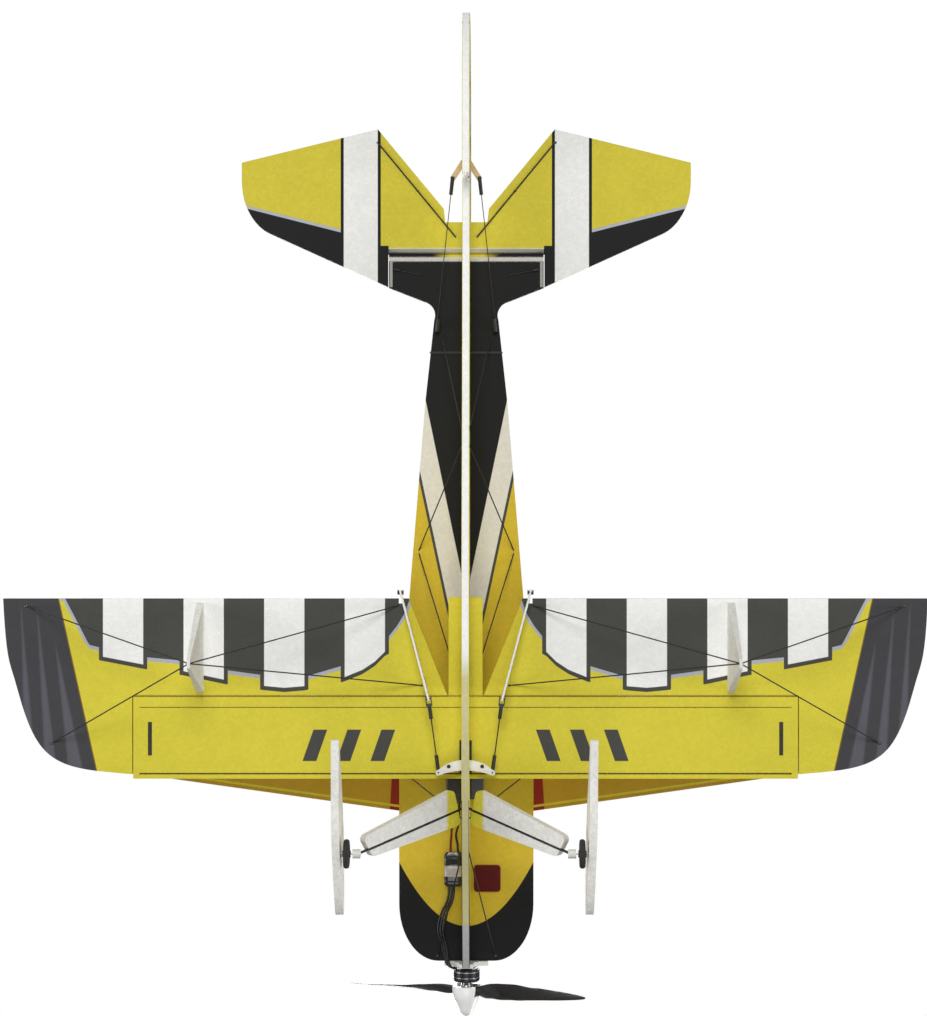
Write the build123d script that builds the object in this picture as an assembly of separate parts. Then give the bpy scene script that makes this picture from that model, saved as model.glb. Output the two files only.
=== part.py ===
"""Indoor aerobatic radio-control biplane of flat foam sheet with carbon rod bracing.

Row frame in millimetres: +Z up, nose towards -Y, port (left) wing towards +X.
z = 0 is the ground under the wheels, x = 0 the plane of symmetry, y = 0 half way along the length.
"""

import math
import os

from build123d import *

os.makedirs("parts", exist_ok=True)

# Sheet, rods and fits
foam = 6.0                    # thickness of every foam sheet
strut_thickness = 3.0         # interplane strut plate
horn_thickness = 1.5          # plastic control horns
arm_thickness = 1.5           # servo arms
brace_diameter = 1.0          # carbon bracing rods
pushrod_diameter = 1.2        # pushrods and aileron links
pin_diameter = 1.0            # clevis pins
glue_gap = 0.1                # round a piece glued into a slot
pin_clearance = 0.05          # radial, clevis pins, axles and motor shaft
line_pin_clearance = 0.25      # radial, pins of the sloping rudder lines
hinge_gap = 0.3               # between a moving surface and what it hangs on
slit = 0.8                    # beside a balance tip
bevel = 35.0                  # degrees cut away at a hinge, more than the surface moves

# Heights above the ground
wheel_diameter = 22.0
keel_height = 73.0            # lowest edge of the fuselage profile
lower_wing_height = 101.0     # underside of the lower wing
plate_height = 168.0          # underside of the horizontal fuselage plate
wing_gap = 140.0              # lower wing underside to upper wing underside
nose_depth = 30.0             # profile below the plate at the nose
tail_depth = 28.0             # profile below the plate at the rudder
nose_rise = 32.0              # profile above the plate centre at the nose
deck_rise = 46.0              # profile above the plate behind the upper wing
fin_height = 98.0             # fin above the plate centre
rudder_height = 131.0         # rudder above the plate centre
rudder_drop = 56.0            # rudder below the plate centre

# Stations along the fuselage
nose = -369.0                 # front edge of the foam cross
rudder_hinge = 272.0
rudder_chord = 142.8
elevator_hinge = 213.0
lower_leading = -211.0
lower_chord = 143.0
upper_leading = -256.0
upper_chord = 168.0

# Wings
span = 735.0
tip_slit = 264.0              # half width of the fixed wing panels
lower_aileron_chord = 77.5
upper_aileron_chord = 78.0
upper_sweep = 8.0             # degrees of leading-edge sweep outboard of the flat centre
upper_flat = 52.0             # half width of the unswept centre
tongue_width = 27.0           # centre piece of each wing behind its hinge line
root_cut = 31.0               # how far the ailerons' root edges slant outboard
spar_width = 2.0
strut_station = 250.7
strut_chord = 26.5

# Fuselage plate and tail
plate_half_width = 55.3
nose_corner = (32.3, 47.0)    # elliptical corner, across and along
boom_half_width = 26.4
stab_half_width = 63.7
elevator_half_span = 185.0
elevator_peak = 103.0         # trailing peak behind the hinge
elevator_root_chord = 26.5

# Controls
horn_x = 51.5                 # rear end of the aileron horns and the link rods
horn_front_x = 29.0
horn_depth = 20.0             # front hole below the wing
link_depth = 6.0              # link holes below each wing
link_aft = 83.0               # link holes behind each aileron hinge
aileron_arm_reach = 21.3
aileron_servo_y = -199.0
arm_sweep = 6.0               # arm ends forward of the servo shaft
king_post_x = 211.0
king_post_depth = 70.0
elevator_arm = 12.0           # servo arm and elevator horn, shaft to pin
elevator_rod_x = -13.4
elevator_servo = (-100.0, 204.0)
rudder_arm = 11.0             # servo arm and rudder horn, shaft to pin
rudder_servo_y = -50.0
rudder_arm_height = 198.0
rudder_horn_height = 145.0
guide_x, guide_y = 24.0, 156.0
line_diameter = 0.7

# Landing gear
axle_y = -257.0
axle_diameter = 1.5
wheel_x = 89.0
tyre_width = 4.4
leg_diameter = 2.0
leg_root = (1.5, -231.2, 80.0)
collet_x = 81.3
collet_diameter = 7.0
collet_length = 6.0
fairing_root = (17.6, 11.7)   # behind and ahead of the leg
fairing_tip = (11.0, 6.5)
fairing_slant = 5.6           # outer end runs fore and aft
spat_length = 132.0
spat_height = 45.0
spat_clear = 4.0              # above the ground
spat_toe = 1.7                # degrees, noses inward

# Motor and propeller
thrust_height = plate_height + foam / 2
motor_diameter = 22.0
motor_length = 13.5
mount_thickness = 3.5
mount_span = 36.0
shaft_diameter = 3.0
adapter_length = 4.0
propeller_diameter = 203.0
propeller_pitch = 96.5
propeller_roll = -18.0
spinner_diameter = 24.0
spinner_length = 25.5

# Servos
servo_length, servo_width, servo_depth = 20.0, 9.6, 16.0
servo_ears = 27.0

half_span = span / 2
lower_trailing = lower_leading + lower_chord
upper_trailing = upper_leading + upper_chord
lower_hinge = lower_trailing - lower_aileron_chord
upper_hinge = upper_trailing - upper_aileron_chord
upper_wing_height = lower_wing_height + wing_gap
plate_top = plate_height + foam
axle_height = wheel_diameter / 2
low_end = (Align.CENTER, Align.CENTER, Align.MIN)


def save(name, shape):
    export_step(shape, f"parts/{name}.step")


def save_pair(name, left):
    save(f"{name}_left", left)
    save(f"{name}_right", mirror(left, about=Plane.YZ))


def both(left):
    """A piece and its mirror image on the other side."""
    return [*left.solids(), *mirror(left, about=Plane.YZ).solids()]


def group(*shapes):
    """Separate solids that share a node."""
    solids = []
    for shape in shapes:
        solids += shape if isinstance(shape, list) else shape.solids()
    return Compound(children=solids)


def sheet(outline, height, thickness=foam):
    """A flat piece: outline in (x, y), its underside at this height."""
    return Pos(0, 0, height) * extrude(make_face(outline.edges()), amount=thickness)


def upright(outline, x=0.0, thickness=foam):
    """A piece standing on edge: outline in (y, z), centred on x."""
    face = Plane.YZ.offset(x) * make_face(outline.edges())
    return extrude(face, amount=thickness / 2, both=True)


def block(low, high):
    """A box between two corners."""
    size = [b - a for a, b in zip(low, high)]
    middle = [(a + b) / 2 for a, b in zip(low, high)]
    return Pos(*middle) * Box(*size)


def rod(start, end, diameter):
    along = Vector(*end) - Vector(*start)
    place = Plane(origin=Vector(*start), z_dir=along)
    return place * Cylinder(diameter / 2, along.length, align=low_end)


def shaft_piece(front, back, diameter):
    """A cylinder along the thrust line."""
    return rod((0, front, thrust_height), (0, back, thrust_height), diameter)


def lead(points, diameter):
    """A held wire: straight runs joined by the largest arcs its corners allow."""
    corners = [Vector(*p) for p in points]
    runs = [b - a for a, b in zip(corners, corners[1:])]
    radii = []
    for before, after in zip(runs, runs[1:]):
        half_turn = math.radians(before.get_angle(after)) / 2
        radii.append(0.45 * min(before.length, after.length) / math.tan(half_turn))
    path = FilletPolyline(*corners, radius=radii)
    section = Plane(origin=path @ 0, z_dir=path % 0) * Circle(diameter / 2)
    print("lead radii", [round(r, 1) for r in radii], "length", round(path.length, 1))
    return sweep(section, path=path)


def clevis(pin, towards, gap, sleeve, turn_axis=(1, 0, 0)):
    """A fork with its pin and the sleeve that holds a rod, pointing from its pin towards a point."""
    along = Vector(*towards) - Vector(*pin)
    place = Plane(origin=Vector(*pin), x_dir=Vector(*turn_axis), z_dir=along)
    ear, depth, tip, bridge = 0.8, 3.0, 1.8, 4.2
    shape = Pos(0, 0, bridge) * Box(gap + 2 * ear, depth, 1.4, align=low_end)
    for side in (-1, 1):
        shape += Pos(side * (gap + ear) / 2, 0, -tip) * Box(ear, depth, tip + bridge, align=low_end)
    shape += Rot(0, 90, 0) * Cylinder(pin_diameter / 2, gap + 2 * ear)
    shape += Pos(0, 0, bridge) * Cylinder(depth / 2, sleeve, align=low_end)
    return place * shape


def along_line(start, end, distance):
    """The point this far from start on the way to end."""
    way = Vector(*end) - Vector(*start)
    return tuple(Vector(*start) + way.normalized() * distance)


def pin_hole(at, length=12.0):
    """The hole for a clevis pin that lies across the aircraft."""
    radius = pin_diameter / 2 + pin_clearance
    return Pos(*at) * Rot(0, 90, 0) * Cylinder(radius, length)


# Wing outlines: full-chord tips are rounded, ailerons hang on the underside of the panel


def tip_curve(root_y, trailing, sweep):
    """The rounded left tip, from the slit forward round to the trailing edge."""
    root_x = tip_slit + slit
    length = half_span - root_x
    chord = trailing - root_y
    slope = math.tan(math.radians(sweep))
    corner = (half_span - 0.30 * length, root_y + 0.155 * chord)
    side = (half_span - 0.095 * length, root_y + 0.53 * chord)
    end = (half_span - 0.2, trailing)
    return Spline(
        (root_x, root_y), corner, side, end,
        tangents=[(1, slope + 0.06), (0.05, 1)],
    )


def aileron(hinge, trailing, tip_root, sweep, height):
    """Left aileron with its full-chord balance tip; the hinge line is its lower front edge."""
    front = hinge + hinge_gap
    root_x = tongue_width / 2 + slit
    tip_x = tip_slit + slit
    tip = tip_curve(tip_root, trailing, sweep)
    outline = Polyline((root_x, front), (tip_x, front), (tip_x, tip_root))
    outline += tip
    outline += Polyline(tip @ 1, (root_x + root_cut, trailing), (root_x, front))
    piece = sheet(outline, height)
    reach = foam * math.tan(math.radians(bevel))
    wedge = Polyline(
        (front - 1, height), (front, height), (front + reach, height + foam),
        (front - 1, height + foam), close=True,
    )
    cut = extrude(Plane.YZ * make_face(wedge.edges()), amount=tip_x)
    return piece - cut


def tongue(hinge, trailing, height):
    half = tongue_width / 2
    return block((-half, hinge - hinge_gap - 1, height), (half, trailing + 1, height + foam))


def strut_slot(station, front, height):
    """The slot for an interplane strut's tab."""
    half = strut_thickness / 2 + glue_gap
    low = (station - half, front - glue_gap, height - 1)
    high = (station + half, front + strut_chord + glue_gap, height + foam + 1)
    return block(low, high)


upper_slope = math.tan(math.radians(upper_sweep))
upper_slit_leading = upper_leading + (tip_slit - upper_flat) * upper_slope
upper_tip_root = upper_slit_leading + slit * upper_slope + 0.4
lower_tip_root = lower_leading + 3.5
strut_low_front = lower_hinge - 47.0
strut_high_front = upper_hinge - 20.0 - strut_chord
aileron_servo_back = aileron_servo_y + servo_ears / 2 + 5.0
servo_cut = (
    (-servo_width / 2 - glue_gap, aileron_servo_back - servo_ears - glue_gap),
    (servo_width / 2 + glue_gap, aileron_servo_back + glue_gap),
)

# Lower wing panel: fixed centre section with the aileron servo through it
panel_back = lower_hinge - hinge_gap
lower_panel = block(
    (-tip_slit, lower_leading, lower_wing_height),
    (tip_slit, panel_back, lower_wing_height + foam),
)
lower_panel += tongue(lower_hinge, lower_trailing, lower_wing_height)
for side in (-1, 1):
    lower_panel -= strut_slot(side * strut_station, strut_low_front, lower_wing_height)
servo_room = block(
    (*servo_cut[0], lower_wing_height - 1), (*servo_cut[1], lower_wing_height + foam + 1)
)
lower_panel -= servo_room
spar_lines = (lower_leading + 4.0, lower_hinge - 9.5)
spar_end = tip_slit - 5.0
spars = []
for y in spar_lines:
    groove = block(
        (-spar_end, y - spar_width / 2, lower_wing_height),
        (spar_end, y + spar_width / 2, lower_wing_height + spar_width),
    )
    lower_panel -= groove
    spars.append(groove)
spars = [spar - servo_room for spar in spars]

# Upper wing panel: swept leading edge with a carbon rod along it
upper_outline = Polyline(
    (-tip_slit, upper_slit_leading), (-upper_flat, upper_leading), (upper_flat, upper_leading),
    (tip_slit, upper_slit_leading), (tip_slit, upper_hinge - hinge_gap),
    (-tip_slit, upper_hinge - hinge_gap), close=True,
)
upper_panel = sheet(upper_outline, upper_wing_height)
upper_panel += tongue(upper_hinge, upper_trailing, upper_wing_height)
for side in (-1, 1):
    upper_panel -= strut_slot(side * strut_station, strut_high_front, upper_wing_height)
edge_inset = 3.0
upper_spars = [
    block(
        (-spar_end, upper_hinge - 9.5 - spar_width / 2, upper_wing_height),
        (spar_end, upper_hinge - 9.5 + spar_width / 2, upper_wing_height + spar_width),
    )
]
for side in (-1, 1):
    front_edge = Polyline(
        (side * upper_flat, upper_leading + edge_inset),
        (side * spar_end, upper_slit_leading + edge_inset - 5.0 * upper_slope),
        (side * spar_end, upper_slit_leading + edge_inset + spar_width - 5.0 * upper_slope),
        (side * upper_flat, upper_leading + edge_inset + spar_width),
        close=True,
    )
    upper_spars.append(sheet(front_edge, upper_wing_height, spar_width))
for spar in upper_spars:
    upper_panel -= spar
save("lower_wing_panel", lower_panel)
save("upper_wing_panel", upper_panel)
save("wing_spars", group(*spars, *upper_spars))

# Interplane struts: flat plates whose tabs go through both wings
strut_outline = Polyline(
    (strut_low_front, lower_wing_height), (strut_low_front, lower_wing_height + foam),
    (strut_low_front - 3.0, lower_wing_height + foam), (strut_high_front + 4.0, plate_height),
    (strut_high_front - 3.0, upper_wing_height), (strut_high_front, upper_wing_height),
    (strut_high_front, upper_wing_height + foam),
    (strut_high_front + strut_chord, upper_wing_height + foam),
    (strut_high_front + strut_chord, upper_wing_height),
    (strut_high_front + strut_chord + 3.0, upper_wing_height),
    (strut_low_front + strut_chord - 6.0, plate_height),
    (strut_low_front + strut_chord + 3.0, lower_wing_height + foam),
    (strut_low_front + strut_chord, lower_wing_height + foam),
    (strut_low_front + strut_chord, lower_wing_height), close=True,
)
save("interplane_struts", group(both(upright(strut_outline, strut_station, strut_thickness))))

# Ailerons with their king posts, horns and bracing
lower_aileron = aileron(
    lower_hinge, lower_trailing, lower_tip_root, 2.0, lower_wing_height
)
link_low = (horn_x, lower_hinge + link_aft, lower_wing_height - link_depth)
link_high = (horn_x, upper_hinge + link_aft, upper_wing_height - link_depth)
link_notch = block(
    (horn_x - 1.7, lower_trailing - 4.0, lower_wing_height - 1),
    (horn_x + 1.7, lower_trailing + 1, lower_wing_height + foam + 1),
)
lower_aileron -= link_notch
save_pair("lower_aileron", lower_aileron)
save_pair(
    "upper_aileron",
    aileron(upper_hinge, upper_trailing, upper_tip_root, upper_sweep, upper_wing_height),
)

post_base = (lower_hinge + 3.0, lower_trailing - 3.0)
post_apex = (king_post_x, lower_hinge + 30.5, lower_wing_height - king_post_depth)
post_outline = Polyline(
    (post_base[0], lower_wing_height), (post_apex[1] - 3.5, post_apex[2]),
    (post_apex[1] + 3.5, post_apex[2]), (post_base[1], lower_wing_height), close=True,
)
king_post = upright(post_outline, king_post_x)
thinning = math.atan2(foam / 2 - 1.2, king_post_depth)
for side in (-1, 1):
    shave = Pos(king_post_x + side * foam / 2, post_apex[1], lower_wing_height)
    shave *= Rot(0, side * math.degrees(thinning), 0)
    king_post -= shave * Box(
        foam, 2 * lower_chord, 4 * king_post_depth,
        align=(Align.MIN if side > 0 else Align.MAX, Align.CENTER, Align.CENTER),
    )
save_pair("king_post", king_post)

brace_feet = (
    (half_span - 18.5, lower_trailing - 6.0), (half_span - 38.5, lower_leading + 28.0),
    (horn_x, lower_trailing - 5.0), (35.0, lower_hinge + 8.5),
)
apex = (post_apex[0], post_apex[1], post_apex[2] + 2.5)
braces = [
    rod(apex, (x, y, lower_wing_height + 0.8), brace_diameter) for x, y in brace_feet
]
save_pair("aileron_braces", group(*braces))

horn_front = (horn_front_x, lower_hinge - 0.5, lower_wing_height - horn_depth)
horn_run = math.hypot(link_low[0] - horn_front[0], link_low[1] - horn_front[1])
horn_plane = Plane(
    origin=Vector(horn_front[0], horn_front[1], 0),
    x_dir=Vector(link_low[0] - horn_front[0], link_low[1] - horn_front[1], 0),
    z_dir=Vector(link_low[1] - horn_front[1], horn_front[0] - link_low[0], 0),
)
horn_outline = Polyline(
    (-2.2, horn_front[2] + 1.0), (-1.4, horn_front[2] - 1.8), (1.8, horn_front[2] - 2.0),
    (horn_run, link_low[2] - 2.2), (horn_run + 2.0, link_low[2] - 1.0),
    (horn_run + 2.0, link_low[2] + 1.2), (horn_run + 0.8, link_low[2] + 2.0),
    (horn_run - 6.0, link_low[2] + 2.0), (horn_run - 9.5, lower_wing_height),
    (10.0, lower_wing_height),
    (0.0, horn_front[2] + 2.4), close=True,
)
horn = extrude(horn_plane * make_face(horn_outline.edges()), amount=horn_thickness / 2, both=True)
horn -= pin_hole(horn_front)
horn -= pin_hole(link_low)
save_pair("aileron_horn", horn)

upper_horn_outline = Polyline(
    (link_high[1] - 24.0, upper_wing_height), (link_high[1] - 2.0, link_high[2] - 2.0),
    (link_high[1] + 1.6, link_high[2] - 1.4), (link_high[1] + 2.0, link_high[2] + 1.0),
    (link_high[1] - 1.0, link_high[2] + 2.4), (upper_trailing - 3.0, upper_wing_height),
    close=True,
)
upper_horn = upright(upper_horn_outline, horn_x, horn_thickness) - pin_hole(link_high)
save_pair("upper_horn", upper_horn)

fork_gap = horn_thickness + 1.7
link = clevis(link_low, link_high, fork_gap, 3.0)
link += clevis(link_high, link_low, fork_gap, 3.0)
link += rod(
    along_line(link_low, link_high, 5.0), along_line(link_high, link_low, 5.0), pushrod_diameter
)
save_pair("aileron_link", link)

# Aileron servo arm: a crescent under the wing, with a pushrod over each end
arm_top = lower_wing_height - 9.8
arm_ends_y = aileron_servo_y - arm_sweep
arm_outline = ThreePointArc(
    (-aileron_arm_reach, arm_ends_y + 2.2), (0, aileron_servo_y + 4.2),
    (aileron_arm_reach, arm_ends_y + 2.2),
)
arm_outline += ThreePointArc(
    (aileron_arm_reach, arm_ends_y + 2.2), (aileron_arm_reach + 2.2, arm_ends_y),
    (aileron_arm_reach, arm_ends_y - 2.2),
)
arm_outline += ThreePointArc(
    (aileron_arm_reach, arm_ends_y - 2.2), (0, aileron_servo_y - 4.2),
    (-aileron_arm_reach, arm_ends_y - 2.2),
)
arm_outline += ThreePointArc(
    (-aileron_arm_reach, arm_ends_y - 2.2), (-aileron_arm_reach - 2.2, arm_ends_y),
    (-aileron_arm_reach, arm_ends_y + 2.2),
)
aileron_arm = sheet(arm_outline, arm_top - arm_thickness, arm_thickness)
for side in (-1, 1):
    aileron_arm -= Pos(side * aileron_arm_reach, arm_ends_y, arm_top) * Cylinder(0.7, 6)
save("aileron_servo_arm", aileron_arm)

arm_clear = 0.5
rod_over_arm = (aileron_arm_reach, arm_ends_y, arm_top + arm_clear + 1.6)
pushrod = clevis(horn_front, rod_over_arm, fork_gap, 12.0)
pushrod += rod(along_line(horn_front, rod_over_arm, 6.0), rod_over_arm, brace_diameter)
pushrod += rod(along_line(rod_over_arm, horn_front, -2.0),
               along_line(rod_over_arm, horn_front, 14.0), 3.0)
save_pair("aileron_pushrod", pushrod)

# Horizontal fuselage plate, in one sheet with the fixed tailplane
boom_start = lower_leading + 31.0
stab_front = elevator_hinge - 27.6
plate_taper = (
    (plate_half_width, boom_start), (47.0, lower_trailing - 2.0), (33.6, 93.0),
    (boom_half_width, guide_y + 3.0),
)
fillet_end = (boom_half_width + 8.3, stab_front - 11.4)


def plate_side(side):
    """One side of the plate's outline, nose to hinge line."""
    across, along = nose_corner
    start = (side * (plate_half_width - across), nose)
    corner = EllipticalCenterArc(
        (start[0], nose + along), across, along,
        start_angle=270 if side > 0 else 180, arc_size=90,
    )
    taper = [(side * x, y) for x, y in plate_taper]
    line = Polyline((side * plate_half_width, nose + along), *taper)
    bend = ThreePointArc(
        taper[-1], (side * (boom_half_width + 2.2), fillet_end[1] - 3.6),
        (side * fillet_end[0], fillet_end[1]),
    )
    tail = Polyline(
        (side * fillet_end[0], fillet_end[1]), (side * stab_half_width, stab_front),
        (side * stab_half_width, elevator_hinge - hinge_gap),
    )
    return corner + line + bend + tail


plate_outline = plate_side(1) + plate_side(-1)
plate_outline += Line(
    (plate_half_width - nose_corner[0], nose), (nose_corner[0] - plate_half_width, nose)
)
plate_outline += Line(
    (stab_half_width, elevator_hinge - hinge_gap), (-stab_half_width, elevator_hinge - hinge_gap)
)
plate = sheet(plate_outline, plate_height)

# Elevator: one piece, hinged on its top edge, with balance tips ahead of the hinge
front = elevator_hinge + hinge_gap
balance_x = stab_half_width + slit
tail_slope = 0.455


def elevator_side(side):
    def at(x, y):
        return (side * x, y)

    tip_front = elevator_hinge + 17.0
    line = Polyline(
        at(0, front), at(balance_x, front), at(balance_x, stab_front + slit),
        at(elevator_half_span - 23.6, tip_front),
    )
    curve = Spline(
        at(elevator_half_span - 23.6, tip_front), at(elevator_half_span - 6.3, tip_front + 17.0),
        at(elevator_half_span, tip_front + 44.5),
        tangents=[(side * 1, tail_slope), (0, 1)],
    )
    back = Polyline(
        at(elevator_half_span, tip_front + 44.5), at(elevator_half_span, elevator_hinge + 75.5),
        at(72.9, elevator_hinge + elevator_peak), at(18.6, elevator_hinge + 37.5),
        at(17.3, elevator_hinge + elevator_root_chord), at(0, elevator_hinge + elevator_root_chord),
    )
    return line + curve + back


elevator = sheet(elevator_side(1) + elevator_side(-1), plate_height)
tail_reach = foam * math.tan(math.radians(bevel))
tail_wedge = Polyline(
    (front - 1, plate_top), (front, plate_top), (front + tail_reach, plate_height),
    (front - 1, plate_height), close=True,
)
elevator -= extrude(Plane.YZ * make_face(tail_wedge.edges()), amount=balance_x, both=True)

elevator_pin = (elevator_rod_x, elevator_hinge, plate_top + elevator_arm)
elevator_horn_outline = Polyline(
    (elevator_hinge + 2.0, plate_top), (elevator_hinge - 2.0, elevator_pin[2]),
    (elevator_hinge - 1.2, elevator_pin[2] + 2.0), (elevator_hinge + 1.4, elevator_pin[2] + 2.0),
    (elevator_hinge + 14.0, plate_top), close=True,
)
elevator_horn = upright(elevator_horn_outline, elevator_rod_x, horn_thickness)
elevator_horn -= pin_hole(elevator_pin)
save("elevator", elevator)
save("elevator_horn", elevator_horn)

# Rudder: a plate hinged on its centre line, with a balance over the fin
fin_top = thrust_height + fin_height
rudder_low = thrust_height - rudder_drop
rudder_high = thrust_height + rudder_height
rudder_front = rudder_hinge + hinge_gap
rudder_back = rudder_front + rudder_chord
balance_front = rudder_hinge - 27.0
rudder_outline = Polyline(
    (balance_front, fin_top + slit), (rudder_front, fin_top + slit), (rudder_front, rudder_low),
    (rudder_front + 0.35 * rudder_chord, rudder_low - 2.0),
)
rudder_outline += Spline(
    (rudder_front + 0.35 * rudder_chord, rudder_low - 2.0),
    (rudder_back - 0.17 * rudder_chord, rudder_low + 25.0),
    (rudder_back, thrust_height + 18.0),
    tangents=[(1, 0), (0, 1)],
)
rudder_outline += Spline(
    (rudder_back, thrust_height + 18.0),
    (rudder_back - 0.14 * rudder_chord, rudder_high - 34.0),
    (rudder_front + 0.38 * rudder_chord, rudder_high),
    (balance_front + 6.0, rudder_high - 11.0),
    (balance_front, fin_top + slit),
    tangents=[(0, 1), (0.3, -1)],
)
rudder = upright(rudder_outline)
side_reach = foam / 2 * math.tan(math.radians(bevel))
for side in (-1, 1):
    wedge = Polyline(
        (0, rudder_front), (side * foam, rudder_front + 2 * side_reach),
        (side * foam, rudder_front - 1), (0, rudder_front - 1), close=True,
    )
    rudder -= sheet(wedge, rudder_low - 5, fin_top + slit - rudder_low + 5)

rudder_pin = (rudder_arm, rudder_hinge, rudder_horn_height)
horn_slot = 15.0
rudder_horn_outline = Polyline(
    (-rudder_arm - 2.0, rudder_hinge + 0.5), (-rudder_arm - 1.0, rudder_hinge - 1.8),
    (-rudder_arm + 1.6, rudder_hinge - 1.6), (-foam / 2 - glue_gap, rudder_hinge + 8.0),
    (foam / 2 + glue_gap, rudder_hinge + 8.0), (rudder_arm - 1.6, rudder_hinge - 1.6),
    (rudder_arm + 1.0, rudder_hinge - 1.8), (rudder_arm + 2.0, rudder_hinge + 0.5),
    (foam / 2 + 1.0, rudder_hinge + horn_slot), (-foam / 2 - 1.0, rudder_hinge + horn_slot),
    close=True,
)
rudder_horn = sheet(rudder_horn_outline, rudder_horn_height - horn_thickness / 2, horn_thickness)
for side in (-1, 1):
    hole = Cylinder(pin_diameter / 2 + line_pin_clearance, 6)
    rudder_horn -= Pos(side * rudder_arm, rudder_hinge, rudder_horn_height) * hole
rudder -= rudder_horn
save("rudder", rudder)
save("rudder_horn", rudder_horn)

# Servos: one pattern, shaft up at the origin, its spline's top at z = 0
spline_height, boss_height = 2.2, 3.0
boss_diameter = 8.6
shaft_offset = 5.0


def servo(case_clearance=0.0):
    """The case, or the room it needs when a clearance is given."""
    c = case_clearance
    top = -spline_height - boss_height
    near, far = servo_length / 2 - shaft_offset, -servo_length / 2 - shaft_offset
    middle = (near + far) / 2
    case = Pos(0, middle, top) * Box(
        servo_width + 2 * c, servo_length + 2 * c, servo_depth + 2 * c,
        align=(Align.CENTER, Align.CENTER, Align.MAX),
    )
    ears = Pos(0, middle, top - 3.5 + c) * Box(
        servo_width + 2 * c, servo_ears + 2 * c, 1.5 + 2 * c,
        align=(Align.CENTER, Align.CENTER, Align.MAX),
    )
    if c:
        boss = Pos(0, 0, top) * Cylinder(boss_diameter / 2 + c, 12, align=low_end)
        return Pos(0, 0, c) * case + ears + boss
    boss = Pos(0, 0, top) * Cylinder(boss_diameter / 2, boss_height, align=low_end)
    spline_shaft = Pos(0, 0, top) * Cylinder(2.0, spline_height + boss_height, align=low_end)
    return case + ears + boss + spline_shaft


aileron_place = Pos(0, aileron_servo_y, arm_top) * Rot(180, 0, 0)
rudder_arm_low = rudder_arm_height - arm_thickness / 2
rudder_place = Pos(0, rudder_servo_y, rudder_arm_low)
elevator_arm_inner = elevator_rod_x + horn_thickness / 2
elevator_place = Pos(elevator_arm_inner, *elevator_servo) * Rot(0, -90, 0) * Rot(0, 0, 180)
places = (aileron_place, rudder_place, elevator_place)
save("servo_cases", group(*[place * servo() for place in places]))

rudder_servo_arm = Circle(3.6) + Rectangle(2 * rudder_arm, 4.0)
for side in (-1, 1):
    rudder_servo_arm += Pos(side * rudder_arm, 0) * Circle(2.0)
for side in (-1, 1):
    rudder_servo_arm -= Pos(side * rudder_arm, 0) * Circle(pin_diameter / 2 + line_pin_clearance)
rudder_servo_arm = extrude(rudder_servo_arm, amount=arm_thickness)
save("rudder_servo_arm", rudder_place * rudder_servo_arm)

elevator_blade = Circle(3.6) + Pos(elevator_arm / 2, 0) * Rectangle(elevator_arm, 4.0)
elevator_blade += Pos(elevator_arm, 0) * Circle(2.0)
elevator_blade -= Pos(elevator_arm, 0) * Circle(pin_diameter / 2 + pin_clearance)
elevator_blade = Plane(
    origin=Vector(elevator_arm_inner, *elevator_servo), x_dir=(0, 0, 1), z_dir=(-1, 0, 0)
) * elevator_blade
save("elevator_servo_arm", extrude(elevator_blade, amount=arm_thickness, dir=(-1, 0, 0)))

arm_pin = (elevator_rod_x, elevator_servo[0], elevator_servo[1] + elevator_arm)
tail_gap = horn_thickness + 0.6
elevator_rod = clevis(arm_pin, elevator_pin, tail_gap, 8.0)
elevator_rod += clevis(elevator_pin, arm_pin, tail_gap, 8.0)
elevator_rod += rod(
    along_line(arm_pin, elevator_pin, 5.0), along_line(elevator_pin, arm_pin, 5.0), pushrod_diameter
)
save("elevator_pushrod", elevator_rod)

# Rudder lines: each is two straight stretches that meet in guide tubes at the plate
guide_low = (guide_x, guide_y, plate_height - 4.1)
guide_high = (guide_x, guide_y - 6.0, plate_top + 3.4)
arm_end = (rudder_arm, rudder_servo_y, rudder_arm_height)
guide_length = 7.0
guide_outer = 4.2
guide_bore = 3.1
guide_insets = (0.9, 0.75)    # aft and front tubes stand inboard, half way along the line's sway
aft_line = clevis(rudder_pin, guide_low, fork_gap, 9.0, (0, 0, 1))
aft_line += rod(along_line(rudder_pin, guide_low, 5.0), guide_low, line_diameter)
save_pair("rudder_line_aft", aft_line)
front_line = clevis(arm_end, guide_high, fork_gap, 6.0, (0, 0, 1))
front_line += rod(along_line(arm_end, guide_high, 5.0), guide_high, line_diameter)
save_pair("rudder_line_front", front_line)


def guide(mouth, towards, inset):
    """A short tube along a line, reaching past the line's end."""
    start = along_line(mouth, towards, guide_length / 2)
    end = along_line(mouth, towards, -guide_length)
    return Pos(-inset, 0, 0) * (rod(start, end, guide_outer) - rod(start, end, guide_bore))


save("line_guides", group(
    both(guide(guide_low, rudder_pin, guide_insets[0])),
    both(guide(guide_high, arm_end, guide_insets[1])),
))

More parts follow.
